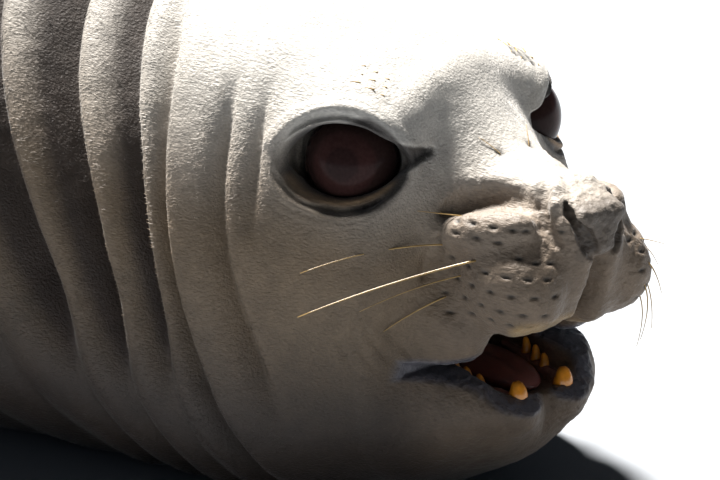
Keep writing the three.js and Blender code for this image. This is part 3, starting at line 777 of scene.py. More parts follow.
def settle(piece, material, slot, *replaced):
    """Gives a piece its material and body, and hides the CAD parts it stands for; slot is not used"""
    piece.data.materials.append(material)
    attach(piece, "root")
    if replaced:
        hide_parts(*replaced)


def ball(name, segments, rings):
    """A smooth ball, and its vertices' places for a radius of 1"""
    bpy.ops.mesh.primitive_uv_sphere_add(radius=1, segments=segments, ring_count=rings)
    thing = bpy.context.object
    thing.name = name
    thing.data.polygons.foreach_set("use_smooth", np.ones(len(thing.data.polygons), bool))
    return thing, (places(thing) + SHIFT) / 1000


def subdivide_where(thing, test):
    """Splits the faces whose vertices all pass a test into four"""
    work = bmesh.new()
    work.from_mesh(thing.data)
    work.verts.ensure_lookup_table()
    chosen = test(places(thing))
    edges = {edge for face in work.faces if all(chosen[v.index] for v in face.verts) for edge in face.edges}
    bmesh.ops.subdivide_edges(work, edges=list(edges), cuts=1, use_grid_fill=True)
    work.to_mesh(thing.data)
    work.free()
    thing.data.polygons.foreach_set("use_smooth", np.ones(len(thing.data.polygons), bool))


def fine_face(p):
    """Where the head's mesh is made finer: nose, whisker pads, lips and lids"""
    q, m = head_places(p)
    gap, _, _, out = lid_gap(m)
    muzzle = (q[:, 0] > 48) & (q[:, 2] < 0) & (q[:, 2] > -205)
    brow = np.linalg.norm(m - np.array(BROW_SPOT, float), axis=1) < 28
    return muzzle | (q[:, 0] > 100) | ((gap < 24) & (out > 0)) | brow


def fine_flipper(p):
    out = np.zeros(len(p), bool)
    for side in SIDES.values():
        q = to_flipper(p, FORE, side)
        out |= (q[:, 0] > 60) & (q[:, 0] < 480) & (np.abs(q[:, 1]) < 130) & (q[:, 2] < 120)
    return out


def tree_of(thing):
    mesh = thing.data
    return BVHTree.FromPolygons([v.co for v in mesh.vertices], [f.vertices for f in mesh.polygons])


def on_skin(tree, q):
    """The nearest place on the skin to a head place"""
    found = tree.find_nearest(Vector((from_head(q) + SHIFT) * 0.001))
    return np.array(found[0]) * 1000 - SHIFT


# Fine form of the skin, pushed along its normals


def wrinkle_depth(q, m):
    """Fine rings round the eye"""
    gap, _, _, out = lid_gap(m)
    near_eye = fall(gap, 34, 20) * smooth(out / 10)
    rings = np.abs(np.sin(gap * 0.55 + 1.8 * noise(q, 24, 3))) ** 0.5
    return 0.7 * near_eye * (1 - rings)


def cheek_wrinkles(m):
    """Curved wrinkles behind the corner of the mouth"""
    d = m - np.array(WRINKLE_CENTRE, float)
    radius = np.hypot(d[:, 0], d[:, 2]) + 2.5 * noise(m, 18, 13)
    behind = rise(-d[:, 0], 14, 14) * smooth((34 - np.abs(d[:, 2] + 4)) / 22)
    behind = behind * rise(m[:, 1], 30, 20)
    return behind * sum(deep * bell(radius, at, 1.6) for at, deep in CHEEK_WRINKLES)


def lip_notches(q, m):
    """Small notches across the lower lip's edge"""
    gap = mouth_gap(q)
    edge = bell(gap, 4, 3.5) * (m[:, 2] < -140) * (m[:, 0] > 50)
    return 1.3 * edge * np.abs(noise(q * np.array([1, 1, 0.3]), 5, 14))


def nose_share(m):
    """From 0 to 1 on the bare leather of the nose's front"""
    f, l, u = m.T
    front = rise(f, 140, 14) * fall(u, -6, 10)
    return front * rise(u, -56, 10) * fall(l, 26, 8)


def follicles():
    """Places of the whisker pits of one side, in rows along the pad"""
    rows = []
    for row in range(6):
        for column in range(7):
            turn = math.radians(-48 + 21 * column + 9 * (row % 2) - 2 * row)
            level = -34 - 13 * row + 9 * math.cos(turn) * (row < 2)
            rows.append((100 + 53 * math.sin(turn), 37 + 35 * math.cos(turn), level))
    return np.array(rows)


def brow_spots():
    """Three leaning rows of pits over the eye"""
    f, l, u = BROW_SPOT
    steps = [(row, column) for row in (-1, 0, 1) for column in (-1, 0, 1)]
    return [(f + 11 * column + 4 * row, l + 6 * row - 2 * column, u - 4 * row) for row, column in steps]


def pits(tree, p, m):
    """How deep each place lies in a whisker pit, from 0 to 1"""
    f, l, u = m.T
    total = np.zeros(len(p))
    near = np.flatnonzero((f > 40) & (u > -120) & (u < -15) & (l > 8))
    for spot in follicles():
        d = m[near] - to_head(on_skin(tree, spot)[None])
        total[near] += np.exp(-((d[:, 0] / 3.6) ** 2 + (d[:, 1] / 3.2) ** 2 + (d[:, 2] / 1.4) ** 2))
    near = np.flatnonzero((f > -40) & (f < 90) & (u > -10))
    for spot in (*brow_spots(), RHINAL_HAIR[0]):
        d = m[near] - to_head(on_skin(tree, np.array(spot, float))[None])
        total[near] += np.exp(-((d[:, 0] / 4.6) ** 2 + (d[:, 1] / 3) ** 2 + (d[:, 2] / 3) ** 2))
    return np.minimum(total, 1)


def lower_lip(m):
    return fall(m[:, 2], -112, 10)


def fine_form(p):
    q, m = head_places(p)
    f, l, u = m.T
    ahead = rise(q[:, 0], -300, 120)
    total = -wrinkle_depth(q, m) * ahead - cheek_wrinkles(m) - lip_notches(q, m)
    leather = rise(f, 112, 20) * rise(u, -60, 20) * fall(l, 34, 10)
    total += leather * (0.45 * noise(q, 2.6, 5) + 0.5 * noise(q, 6, 6))
    muzzle = rise(f, 40, 30) * fall(u, 8, 12)
    total += muzzle * (0.4 * noise(q, 3, 15) + 0.4 * noise(q, 7, 16))
    total += 0.6 * noise(p, 26, 7) + 0.25 * noise(p, 9, 8)
    broad = rise(p[:, 1], -900, 300)
    total += broad * (2.5 * noise(p, 150, 9) + 1.2 * noise(p, 60, 10))
    return total * smooth(p[:, 2] / 8)


# Colours, the same for skin and coat


def linear(rgb):
    c = np.asarray(rgb, float) / 255
    return np.where(c <= 0.04045, c / 12.92, ((c + 0.055) / 1.055) ** 2.4)


# Painted light: the head's top made paler than the coat's own grey, as if lit from above
PAINTED_LIT_TOP = linear((190, 186, 179))
BODY_BACK = linear((108, 98, 86))
BODY_SIDE = linear((100, 86, 68))
SIDE = linear((122, 104, 82))
# Painted shade on the underside, throat and lower jaw
UNDER_SHADE = linear((44, 33, 25))
MUZZLE = linear((112, 96, 80))
GOLDEN = linear((168, 138, 88))
# Painted shade for the bottoms of the neck's creases
CREASE_SHADE = linear((48, 36, 30))
DARK = linear((46, 40, 37))
LIP = linear((74, 72, 78))
LID_RIM = linear((176, 146, 112))
GUM = linear((126, 84, 78))
PUPIL = linear((44, 30, 29))
IRIS = linear((58, 38, 36))
EYE_WHITE = linear((46, 33, 31))
TONGUE_PINK = linear((112, 62, 58))
STAINED_TOOTH = linear((222, 142, 34))
WHISKER_STRAW = linear((176, 144, 88))
DARK_HORN = linear((52, 44, 38))
FLOOR_GREY = linear((140, 144, 149))


def blend(colour, other, share):
    return colour + (other - colour) * share[:, None]


def coat_colour(p):
    q, m = head_places(p)
    height = curve_at(TRUNK, p[:, 1], 3)
    level = np.clip(p[:, 2] / height, 0, 1) + 0.05 * noise(p, 120, 21)
    behind = rise(p[:, 1], -950, 500)
    back = blend(np.tile(PAINTED_LIT_TOP, (len(p), 1)), BODY_BACK, behind)
    side = blend(np.tile(SIDE, (len(p), 1)), BODY_SIDE, behind)
    # Painted light and shade: paler toward the top, darker on the sides
    colour = blend(side, back, rise(level, 0.58, 0.36))
    # Painted shade: much darker toward the bottom
    colour = blend(colour, UNDER_SHADE, fall(level, 0.62, 0.44))
    # Painted shade in the deep creases of the neck
    colour = blend(colour, CREASE_SHADE, 0.9 * smooth((crease_depth(q) - 8) / 11))
    colour = blend(colour, MUZZLE, 0.8 * rise(m[:, 0], 40, 50) * fall(m[:, 2], 10, 40))
    lip = smooth((12 - mouth_gap(q)) / 10) * rise(m[:, 0], 90, 40) * (m[:, 2] > -135)
    colour = blend(colour, GOLDEN, 0.7 * lip)
    gap, along, over, out = lid_gap(m)
    reach = 7 + 8 * smooth(along / 20) + 3 * smooth(-over / 8)
    lids = smooth((reach - gap) / 6) * smooth(out / 8)
    # Dark skin round the eyes and in the tear furrow, deepened with painted shade
    colour = blend(colour, DARK, 0.9 * np.maximum(lids, tear_corner(m)))
    rim = bell(gap, 5, 2.4) * rise(-over, 6, 10) * smooth(out / 8)
    colour = blend(colour, LID_RIM, 0.9 * rim)
    # The nose's front: slightly darker leather, with painted shade over it
    colour = blend(colour, DARK, 0.5 * nose_share(m))
    colour *= (1 + 0.12 * noise(p, 45, 22) + 0.1 * noise(p, 12, 23))[:, None]
    return np.clip(colour, 0, 1)


def skin_colour_and_wet(p):
    """Colour and wetness of the bare skin"""
    q, m = head_places(p)
    colour = coat_colour(p) * 0.82
    near = m[:, 0] > 20
    gap = np.where(near, mouth_gap(q), 99)
    hollow = np.where(near, mouth_hollow(m), 99)
    lips = fall(gap, 9, 5) * near * lower_lip(m)
    edge = fall(gap, 3.5, 3) * near * (1 - lower_lip(m))
    inner = fall(hollow, 3, 5) * near
    colour = blend(colour, LIP, lips)
    colour = blend(colour, DARK, edge)
    colour = blend(colour, GUM, inner)
    nostril = path_rod(m, NOSTRIL)
    inside = fall(nostril, 3, 4)
    # Painted shade deep inside the nostrils
    colour = blend(colour, DARK * 0.4, inside)
    wet = np.maximum(np.maximum(lips, inner), inside)
    return colour, wet


def paint(thing, name, colour):
    layer = thing.data.color_attributes.new(name, "FLOAT_COLOR", "POINT")
    rgba = np.concatenate([colour, np.ones((len(colour), 1))], axis=1)
    layer.data.foreach_set("color", rgba.astype(np.float32).reshape(-1))


def mark(thing, name, values):
    layer = thing.data.attributes.new(name, "FLOAT", "POINT")
    layer.data.foreach_set("value", np.asarray(values, np.float32))


# Materials


def new_material(name):
    material = bpy.data.materials.new(name)
    material.use_nodes = True
    tree = material.node_tree
    return material, tree, tree.nodes["Principled BSDF"]


def set_sockets(made, **settings):
    """Sets a node's inputs, written with _ for each space, or else its own settings"""
    for key, value in settings.items():
        label = key.replace("_", " ")
        if label in made.inputs:
            made.inputs[label].default_value = value
        else:
            setattr(made, key, value)
    return made


def node(tree, kind, **settings):
    return set_sockets(tree.nodes.new(kind), **settings)


def noise_node(tree, scale, detail=3.0, stretch=None):
    made = node(tree, "ShaderNodeTexNoise", Scale=scale, Detail=detail)
    where = node(tree, "ShaderNodeTexCoord").outputs["Object"]
    if stretch:
        mapping = node(tree, "ShaderNodeMapping", Scale=stretch)
        tree.links.new(where, mapping.inputs["Vector"])
        where = mapping.outputs[0]
    tree.links.new(where, made.inputs["Vector"])
    return made.outputs["Fac"]


def bump_chain(tree, shader, heights):
    """Bumps one after another: (height, distance in metres, strength)"""
    before = None
    for height, distance, strength in heights:
        bump = node(tree, "ShaderNodeBump", Strength=strength, Distance=distance)
        tree.links.new(height, bump.inputs["Height"])
        if before:
            tree.links.new(before, bump.inputs["Normal"])
        before = bump.outputs[0]
    tree.links.new(before, shader.inputs["Normal"])


def scaled_colour(tree, colour, fac, low, high):
    """A colour made lighter and darker by a noise"""
    span = node(tree, "ShaderNodeMapRange", To_Min=low, To_Max=high)
    tree.links.new(fac, span.inputs["Value"])
    product = node(tree, "ShaderNodeVectorMath", operation="SCALE")
    tree.links.new(colour, product.inputs[0])
    tree.links.new(span.outputs[0], product.inputs["Scale"])
    return product.outputs[0]


# A piece's colour attribute: its markings, and on skin and coat also painted light and shade
def base_colour(tree):
    return node(tree, "ShaderNodeAttribute", attribute_name="base_colour").outputs["Color"]


def skin_material():
    material, tree, shader = new_material("seal_skin")
    wet = node(tree, "ShaderNodeAttribute", attribute_name="wet").outputs["Fac"]
    streak = noise_node(tree, 1.0, stretch=(760, 150, 760))
    colour = scaled_colour(tree, base_colour(tree), streak, 0.6, 1.4)
    colour = scaled_colour(tree, colour, noise_node(tree, 90, 5.0), 0.75, 1.25)
    tree.links.new(colour, shader.inputs["Base Color"])
    rough = node(tree, "ShaderNodeMapRange", To_Min=0.62, To_Max=0.24)
    tree.links.new(wet, rough.inputs["Value"])
    tree.links.new(rough.outputs[0], shader.inputs["Roughness"])
    set_sockets(shader, Sheen_Weight=0.15, Sheen_Roughness=0.4)
    bump_chain(tree, shader, [(streak, 0.0008, 0.8), (noise_node(tree, 420, 4.0), 0.0009, 0.7)])
    return material


def coat_material():
    material, tree, shader = new_material("seal_coat")
    tree.links.new(base_colour(tree), shader.inputs["Base Color"])
    set_sockets(shader, Roughness=0.5, Sheen_Weight=0.2)
    return material


def plain_material(name, rgb, grain, low, high, bump=None, **sockets):
    """One colour varied by a grain, a noise's settings, and a bump as (grain, distance, strength)"""
    material, tree, shader = new_material(name)
    base = node(tree, "ShaderNodeRGB")
    base.outputs[0].default_value = (*rgb, 1)
    colour = scaled_colour(tree, base.outputs[0], noise_node(tree, *grain), low, high)
    tree.links.new(colour, shader.inputs["Base Color"])
    set_sockets(shader, **sockets)
    if bump:
        bump_chain(tree, shader, [(noise_node(tree, *bump[0]), *bump[1:])])
    return material


# Skin


def make_skin():
    verts, faces = whole_surface()
    skin = new_mesh("skin", verts, faces)
    subdivide_where(skin, lambda p: fine_face(p) | fine_flipper(p))
    p = drawn_in(skin_form, places(skin), 1)
    set_places(skin, p)
    pit = pits(tree_of(skin), p, mirrored(to_head(p)))
    p = p + normals(skin) * (fine_form(p) - PIT_DEPTH * pit)[:, None]
    p[:, 2] = np.maximum(p[:, 2], 0)
    set_places(skin, p)
    colour, wet = skin_colour_and_wet(p)
    # Painted shade in the whisker and brow pits
    colour *= (1 - 0.94 * pit)[:, None]
    paint(skin, "base_colour", colour)
    mark(skin, "wet", wet)
    mark(skin, "pit", pit)
    flesh = [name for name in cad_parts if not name.startswith(("eye", "claw", "tongue"))]
    settle(skin, skin_material(), "coat", *flesh)
    return skin


# Eyes


def eye_centre(side):
    f, l, u = EYE_CENTRE
    return from_head((f, l * side, u))


def make_eye(name):
    side = SIDES[name]
    eye, round_places = ball(f"eyeball_{name}", 64, 40)
    out = FORWARD * EYE_OUT[0] + LEFT * EYE_OUT[1] * side + UP * EYE_OUT[2]
    across = unit(np.cross(UP, out))
    turn = np.stack([across, np.cross(out, across), out], 1)
    set_places(eye, EYE_RADIUS * round_places @ turn.T + eye_centre(side))
    angle = np.degrees(np.arccos(np.clip(round_places[:, 2], -1, 1)))
    colour = np.tile(EYE_WHITE, (len(angle), 1))
    colour = blend(colour, IRIS, fall(angle, 46, 8))
    colour = blend(colour, PUPIL, fall(angle, 24, 6))
    paint(eye, "base_colour", colour)
    material, tree, shader = new_material(f"eye_{name}")
    colour = scaled_colour(tree, base_colour(tree), noise_node(tree, 400), 0.6, 1.4)
    tree.links.new(colour, shader.inputs["Base Color"])
    set_sockets(shader, Roughness=0.16, IOR=1.2, Specular_IOR_Level=0.3)
    settle(eye, material, "eye", f"eye_{name}")


# Coat: short tufts that lie flat, as long thin solids with a low ridge

TUFTS = {  # piece: places along Y, number, length, width
    "coat_face": (-9999, -1195, 47000, 3.0, 0.5),
    "coat_head": (-1195, -1090, 46000, 3.6, 0.55),
    "coat_neck": (-1090, -900, 49000, 4.4, 0.7),
    "coat_shoulders": (-900, -500, 40000, 7.5, 1.3),
    "coat_back": (-500, 60, 36000, 9.0, 1.6),
    "coat_flanks": (60, 700, 36000, 9.0, 1.6),
    "coat_hips": (700, 9999, 34000, 6.5, 1.2),
}
TUFT_FACES = ((0, 2, 3), (2, 1, 3), (1, 0, 3), (0, 1, 2))  # of left, right, ridge and tip
TUFT_SEED = 11
TUFT_PATCH = 0.003  # the size of a tuft's patch on its map
TUFT_SPREAD = (0.7, 1.3)  # shares of a tuft's length and width
ROOT_DEPTH = 0.35


def lie(p, n):
    """The way the hair lies: back and a little down, away from the nose and round the eyes"""
    q, m = head_places(p)
    head = rise(q[:, 0], -460, 300)[:, None]
    way = (1 - head) * np.array([0, 1.0, 0]) - head * FORWARD
    steep = smooth(1 - np.abs(n[:, 2:3])) * 0.35
    way = way - steep * UP
    from_nose = unit(q - np.array([150, 0, -30])) @ HEAD_AXES
    way = way + from_nose * (1.6 * rise(m[:, 0], 60, 60))[:, None]
    gap, _, _, out = lid_gap(m)
    flip = np.where([False, True, False] & (q[:, 1:2] < 0), -1.0, 1.0)
    eye = from_head(np.array(EYE_CENTRE, float) * flip)
    way = way + unit(p - eye) * (1.2 * fall(gap, 34, 30) * (out > 0))[:, None]
    for side in SIDES.values():
        for flipper, start in ((FORE, 0), (HIND, 60)):
            f = to_flipper(p, flipper, side)
            share = smooth((f[:, 0] - start) / 80) * fall(f[:, 2], 150, 60) * (np.abs(f[:, 1]) < 140)
            axes = flipper_axes(flipper, side)[1]
            way = way + share[:, None] * 2 * (axes[0] - way / 2)
    way = way - n * (way * n).sum(1, keepdims=True)
    return unit(way)


def bare(p):
    """From 0 to 1 where the skin has no hair: nose, lips, mouth, nostrils, lids' edges and soles"""
    q, m = head_places(p)
    near = m[:, 0] > 20
    lips = smooth((2 + 5 * lower_lip(m) - mouth_gap(q)) / 4) * near
    inner = smooth((5 - mouth_hollow(m)) / 4) * near
    lids = smooth((1.5 - lid_gap(m)[0]) / 2) * (eye_distance(m) < 60)
    nostril = smooth((4 - path_rod(m, NOSTRIL)) / 3)
    nose = smooth((nose_share(m) - 0.45) / 0.3)
    floor = (p[:, 2] < 3) * 1.0
    return np.maximum.reduce([lips, inner, lids, nostril, nose, floor])


def bake_place(p):
    """A place on an unwrap of the body's own shape: along it and round it"""
    along = (p[:, 1] + 1500) / 3100
    middle = curve_at(TRUNK, p[:, 1], 1)
    level = curve_at(TRUNK, p[:, 1], 3) * 0.45
    around = np.arctan2(p[:, 0] - middle, p[:, 2] - level) / (2 * math.pi) + 0.5
    return np.stack([along, around], 1)


def scattered(skin, rng, low, high, count):
    """Random places on the skin between two places along Y, with the skin's normals there"""
    mesh = skin.data
    mesh.calc_loop_triangles()
    corners = np.empty(len(mesh.loop_triangles) * 3, np.int32)
    mesh.loop_triangles.foreach_get("vertices", corners)
    corners = corners.reshape(-1, 3)
    p, n = places(skin), normals(skin)
    a, b, c = (p[corners[:, i]] for i in range(3))
    middle = (a + b + c) / 3
    pit = np.empty(len(p), np.float32)
    mesh.attributes["pit"].data.foreach_get("value", pit)
    area = np.linalg.norm(np.cross(b - a, c - a), axis=1) * (pit[corners[:, 0]] < 0.15)
    weight = area * ((middle[:, 1] >= low) & (middle[:, 1] < high)) * (1 - bare(middle))
    pick = rng.choice(len(corners), size=count, p=weight / weight.sum())
    r, t = np.sqrt(rng.random(count)), rng.random(count)
    share = np.stack([1 - r, r * (1 - t), r * t], 1)[:, :, None]
    corner = corners[pick]
    return (p[corner] * share).sum(1), unit((n[corner] * share).sum(1))


def tuft_sizes(p, length, width):
    """Shorter on the muzzle, round the eyes and on the flippers"""
    m = mirrored(to_head(p))
    gap = lid_gap(m)[0]
    near_eye = eye_distance(m) < 80
    share = 1 - 0.5 * rise(m[:, 0], 40, 70)
    share = share * (1 - 0.55 * fall(gap, 24, 20) * near_eye)
    for side in SIDES.values():
        f = to_flipper(p, FORE, side)
        share = share * (1 - 0.55 * rise(f[:, 0], 40, 120) * (np.abs(f[:, 1]) < 110))
    share = share * (1 - 0.35 * rise(p[:, 1], 1080, 100))
    return length * share, width * (0.3 + 0.7 * share)


def make_coat(skin):
    material = coat_material()
    rng = np.random.default_rng(TUFT_SEED)
    for name, (low, high, count, length, width) in TUFTS.items():
        p, n = scattered(skin, rng, low, high, count)
        long, wide = tuft_sizes(p, length, width)
        long = long * rng.uniform(*TUFT_SPREAD, count)
        wide = (wide * rng.uniform(*TUFT_SPREAD, count))[:, None]
        way = lie(p, n)
        across = np.cross(n, way)
        swing = rng.normal(0, 0.12, (count, 1)) + 0.16 * noise(p, 22, 31)[:, None]
        way = unit(way + across * swing)
        across = np.cross(n, way)
        long = long[:, None]
        root = p - n * ROOT_DEPTH
        left, right = root - across * wide * 0.5, root + across * wide * 0.5
        ridge = p + way * long * 0.3 + n * (0.03 + 0.06 * wide)
        tip = p + way * long + n * rng.uniform(0.0, 0.12, (count, 1)) * (0.3 + wide * 0.3)
        tip[:, 2] = np.maximum(tip[:, 2], 0.2)
        verts = np.stack([left, right, ridge, tip], 1).reshape(-1, 3)
        base = np.arange(count)[:, None] * 4
        faces = np.concatenate([base + np.array(corners) for corners in TUFT_FACES])
        coat = new_mesh(name, verts, faces.tolist(), smooth_shaded=False)
        tone = rng.normal(1, 0.08, (count, 1))
        roots = coat_colour(p) * tone
        colour = np.stack([roots * 0.9, roots * 0.9, roots, roots * 1.06], 1).reshape(-1, 3)
        paint(coat, "base_colour", np.clip(colour, 0, 1))
        add_bake_map(coat, bake_place(p))
        settle(coat, material, "coat")


def add_bake_map(coat, root_places):
    """Each tuft is a small patch of the map at its root's place"""
    layer = coat.data.uv_layers.new(name="OFBake")
    corner = np.empty(len(coat.data.loops), np.int32)
    coat.data.loops.foreach_get("vertex_index", corner)
    patch = TUFT_PATCH * np.array([(0, 0), (1, 0), (1 / 2, 1 / 3), (1 / 2, 1)])
    low, high = root_places.min(0), root_places.max(0)
    spread = (root_places - low) / (high - low) * 0.99 + TUFT_PATCH
    uv = spread[corner // 4] + patch[corner % 4]
    layer.data.foreach_set("uv", uv.astype(np.float32).reshape(-1))


# Whiskers

WHISKERS = {  # root, way, how far the end curls off it, thickness: in head places, outward in the middle
    "right": (
        ((75, 58, -33), (-19, 21, 4), (0, 0, 0), 0.4),
        ((68, 64, -51), (-61, 84, 1), (8, 4, -16), 0.55),
        ((99, 68, -55), (-72, 99, -27), (2, 2, -10), 0.7),
        ((70, 70, -89), (-32, 40, -20), (0, 0, -8), 0.5),
        ((84, 70, -70), (-40, 56, -14), (0, 4, -10), 0.4),
    ),
    "left": (
        ((75, 58, -33), (-30, 18, 1), (0, 0, 0), 0.4),
        ((70, 64, -50), (-72, 70, -8), (4, 0, -14), 0.55),
        ((97, 68, -56), (-88, 84, -30), (2, 0, -12), 0.75),
        ((72, 70, -88), (-40, 38, -28), (0, 0, -10), 0.5),
        ((118, 70, -66), (-24, 56, -20), (0, -6, -14), 0.5),
        ((146, 52, -52), (10, 14, -3), (0, 0, -2), 0.3),
        ((148, 50, -71), (6, 12, -18), (-2, -3, -6), 0.45),
        ((144, 48, -86), (8, 10, -30), (-10, -10, -12), 0.5),
        ((138, 46, -92), (8, 10, -30), (-10, -8, -12), 0.45),
        ((132, 56, -84), (2, 22, -30), (-6, -6, -12), 0.45),
    ),
}
BROW_HAIR = ((-12, 7, 3), (0, 0, -3), 0.4)  # way, curl and thickness of the hair in each pit of the brow
WHISKER_GAIN = 1.3
WHISKER_TAPER = 0.6
BROW_CURL = ((7, 80, 54), (-52, 10, -4), (10, 10, -16), 0.4)
RHINAL_HAIR = ((68, 14, 4), (-14, 8, 16), (0, 0, -3), 0.3)


def tube(points, radii, count=6):
    """A closed tube round points"""
    points = np.asarray(points, float)
    along = unit(np.gradient(points, axis=0))
    side = unit(np.cross(along, np.array([0.31, 0.17, 0.93])))
    over = np.cross(along, side)
    verts, faces = [], []
    for i, (point, r) in enumerate(zip(points, radii)):
        for k in range(count):
            a = 2 * math.pi * k / count
            verts.append(point + r * (math.cos(a) * side[i] + math.sin(a) * over[i]))
    for i in range(len(points) - 1):
        for k in range(count):
            j = (k + 1) % count
            faces.append((i * count + k, i * count + j, (i + 1) * count + j, (i + 1) * count + k))
    faces.append(tuple(range(count))[::-1])
    faces.append(tuple(range((len(points) - 1) * count, len(points) * count)))
    return verts, faces


def joined(name, parts, material, slot, *replaced):
    """One piece from many small closed meshes"""
    verts, faces = [], []
    for part_verts, part_faces in parts:
        base = len(verts)
        verts += list(part_verts)
        faces += [tuple(base + i for i in face) for face in part_faces]
    settle(new_mesh(name, np.array(verts), faces), material, slot, *replaced)


def make_whiskers(tree):
    hairs = []
    rng = np.random.default_rng(5)
    for name, side in SIDES.items():
        flip = np.array([1, side, 1])
        brow = [(spot, *BROW_HAIR) for spot in brow_spots()]
        for root, way, curl, thick in (*WHISKERS[name], *brow, BROW_CURL, RHINAL_HAIR):
            start = on_skin(tree, np.array(root, float) * flip)
            wobble = rng.normal(0, 1.2, 3)
            t = np.linspace(-0.04, 1, 14)[:, None]
            run = (np.array(way, float) * flip + wobble) @ HEAD_AXES
            bend = np.array(curl, float) * flip @ HEAD_AXES
            points = start + run * t + bend * t * t
            hairs.append(tube(points, WHISKER_GAIN * thick * (1 - WHISKER_TAPER * np.clip(t[:, 0], 0, 1))))
    material = plain_material("whisker", WHISKER_STRAW, (120, 2.0), 0.5, 1.3, Roughness=0.35)
    joined("whiskers", hairs, material, "claw")


# Mouth

LOWER_TEETH = (  # forward, sideways, root level, tip level, root radius
    (95, 22, -174, -156, 6.6), (66, 31, -170, -156, 3.4),
    (55, 33, -169, -153, 3.4), (44, 34, -167, -150, 3.4),
)
UPPER_TEETH = (
    (104, 19, -94, -108, 5), (110, 6.5, -94, -106, 3), (92, 29, -96, -110, 3), (78, 32, -96, -114, 3.2),
    (64, 33, -96, -117, 3.2),
)
TONGUE = ((46, 0, -163), (46, 23, 11))


def tooth(f, l, root, tip, radius, side):
    """A blunt peg that leans a little outward"""
    t = np.linspace(0, 1, 9)
    forward = f + 3 * np.sin(t * math.pi) * 0.8 + t
    points = np.stack([forward, side * l * (1 + 0.05 * t), root + (tip - root) * t], 1)
    radii = radius * np.sqrt(np.clip(1 - (t * 0.97) ** 5, 0, 1)) * (1 + 0.12 * np.sin(t * 5))
    return tube(from_head(points), radii, 12)


def make_teeth():
    bump = ((500, 3.0), 0.0004, 0.6)
    gloss = {"Roughness": 0.3, "Coat_Weight": 0.5}
    enamel = plain_material("tooth", STAINED_TOOTH, (220, 4.0), 0.5, 1.35, bump, **gloss)
    for name, table in (("teeth_lower", LOWER_TEETH), ("teeth_upper", UPPER_TEETH)):
        joined(name, [tooth(*row, side) for row in table for side in SIDES.values()], enamel, "claw")


def make_tongue():
    tongue, round_places = ball("tongue_flesh", 48, 32)
    centre, radii = TONGUE
    groove = 1.6 * np.exp(-(round_places[:, 1] / 0.22) ** 2) * (round_places[:, 2] > 0)
    q = np.array(centre, float) + round_places * np.array(radii, float)
    q[:, 2] += -groove + q[:, 0] * -0.07 + 3.2
    set_places(tongue, from_head(q))
    bump = ((700, 2.0), 0.0006, 0.5)
    wet = {"Roughness": 0.4, "Coat_Weight": 0.4, "Coat_Roughness": 0.08}
    flesh = plain_material("tongue", TONGUE_PINK, (90, 4.0), 0.7, 1.25, bump, **wet)
    settle(tongue, flesh, "mouth", "tongue")


# Claws


def claw(side, i):
    across, reach, splay = FORE_DIGITS[i]
    lean = math.radians(splay)
    length, radius = 44 - 3 * i, 5.4 - 0.3 * i
    rises = ((0, 17), (length * 0.6, 22), (length, 7))
    ends = [(reach - 16 + s * math.cos(lean), across + s * math.sin(lean), u) for s, u in rises]
    start, bend, tip = (from_flipper(end, FORE, side) for end in ends)
    t = np.linspace(0, 0.985, 12)[:, None]
    points = start * (1 - t) ** 2 + bend * 2 * t * (1 - t) + tip * t * t
    return tube(points, radius * np.sqrt(1 - t[:, 0] ** 2), 12)


def make_claws():
    grain = (1.0, 3.0, (600, 90, 600))
    material = plain_material("claw_horn", DARK_HORN, grain, 0.6, 1.6, (grain, 0.0003, 0.5), Roughness=0.38)
    for name, side in SIDES.items():
        for i in range(len(FORE_DIGITS)):
            joined(f"horn_{name}_{i + 1}", [claw(side, i)], material, "claw", f"claw_{name}_{i + 1}")


# Stage, light and camera

PHOTO_SIZE = (720, 480)
SCALE = 1.395  # pixels of the photo to a millimetre at the eyes
HEAD_PIXEL = (448.5, 135)
VIEW_TURN = 48
VIEW_RISE = 18.4
VIEW_DISTANCE = 3000
SENSOR = 36
SUN_WAY = (-0.27, 1.0, -0.12)  # right, up and toward the camera
SUN_SPREAD = 9
SUN_STRENGTH = 17
SUN_COLOUR = (1.0, 0.97, 0.93)
SKY_COLOUR = (0.66, 0.80, 1.0)
SKY_BAND = {"From_Min": 0.02, "From_Max": 0.12, "To_Min": 0.5, "To_Max": 0.045}  # height and strength
FLOOR_REACH = 150  # metres


def view_axes():
    turn, rise = math.radians(VIEW_TURN), math.radians(VIEW_RISE)
    level = math.cos(rise)
    toward = math.sin(turn) * level * FORWARD - math.cos(turn) * level * LEFT + math.sin(rise) * UP
    right = math.cos(turn) * FORWARD + math.sin(turn) * LEFT
    return right, np.cross(toward, right), toward


def make_camera():
    right, up, toward = view_axes()
    across = (PHOTO_SIZE[0] / 2 - HEAD_PIXEL[0]) / SCALE
    down = (PHOTO_SIZE[1] / 2 - HEAD_PIXEL[1]) / SCALE
    place = HEAD_PLACE + SHIFT + right * across - up * down + toward * VIEW_DISTANCE
    data = bpy.data.cameras.new("camera")
    data.sensor_width = SENSOR
    data.lens = SENSOR * VIEW_DISTANCE / (PHOTO_SIZE[0] / SCALE)
    data.clip_end = 100
    camera = new_object("camera", data)
    rows = [[right[i], up[i], toward[i], place[i] * 0.001] for i in range(3)]
    camera.matrix_world = Matrix([*rows, [0, 0, 0, 1]])
    bpy.context.scene.camera = camera


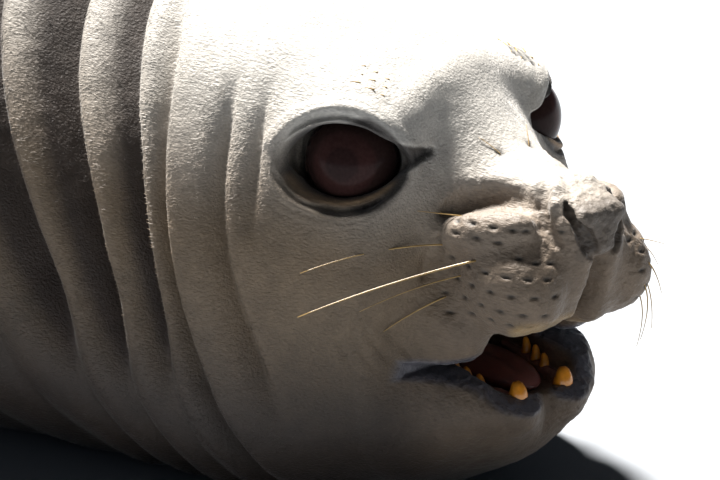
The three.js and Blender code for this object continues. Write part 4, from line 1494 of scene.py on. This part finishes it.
def make_sun():
    """Even light from one direction, softened over a spread in degrees"""
    data = bpy.data.lights.new("key", "SUN")
    data.angle = math.radians(SUN_SPREAD)
    data.energy = SUN_STRENGTH
    data.color = SUN_COLOUR
    way = sum(share * axis for share, axis in zip(SUN_WAY, view_axes()))
    new_object("key", data).rotation_euler = Vector(way).to_track_quat("Z", "Y").to_euler()


def make_sky():
    """Dim light from above, paler in a narrow band over the horizon"""
    world = bpy.data.worlds.new("world")
    bpy.context.scene.world = world
    world.use_nodes = True
    tree = world.node_tree
    above = node(tree, "ShaderNodeSeparateXYZ")
    tree.links.new(node(tree, "ShaderNodeTexCoord").outputs["Generated"], above.inputs[0])
    strength = node(tree, "ShaderNodeMapRange", **SKY_BAND)
    tree.links.new(above.outputs["Z"], strength.inputs["Value"])
    sky = tree.nodes["Background"]
    sky.inputs["Color"].default_value = (*SKY_COLOUR, 1)
    tree.links.new(strength.outputs[0], sky.inputs["Strength"])


def make_stage():
    mesh = bpy.data.meshes.new("floor")
    far = FLOOR_REACH
    mesh.from_pydata([(-far, -far, 0), (far, -far, 0), (far, far, 0), (-far, far, 0)], [], [(0, 1, 2, 3)])
    floor = new_object("floor", mesh)
    material, _, shader = new_material("floor")
    set_sockets(shader, Base_Color=(*FLOOR_GREY, 1), Roughness=0.9)
    floor.data.materials.append(material)
    bpy.context.scene.view_settings.view_transform = "Standard"
    make_sky()
    make_sun()


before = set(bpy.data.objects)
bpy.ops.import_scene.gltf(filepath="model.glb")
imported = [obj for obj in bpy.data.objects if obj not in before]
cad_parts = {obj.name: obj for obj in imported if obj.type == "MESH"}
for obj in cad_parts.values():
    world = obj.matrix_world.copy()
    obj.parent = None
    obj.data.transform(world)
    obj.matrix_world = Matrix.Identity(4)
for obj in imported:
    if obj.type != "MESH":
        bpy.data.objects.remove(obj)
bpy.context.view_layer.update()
eye_low, eye_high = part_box("eye_right")
SHIFT = np.array([(a + b) * 500 for a, b in zip(eye_low, eye_high)]) - eye_centre(-1)

make_camera()
make_stage()
skin = make_skin()
for eye_name in SIDES:
    make_eye(eye_name)
make_coat(skin)
make_whiskers(tree_of(skin))
make_teeth()
make_tongue()
make_claws()
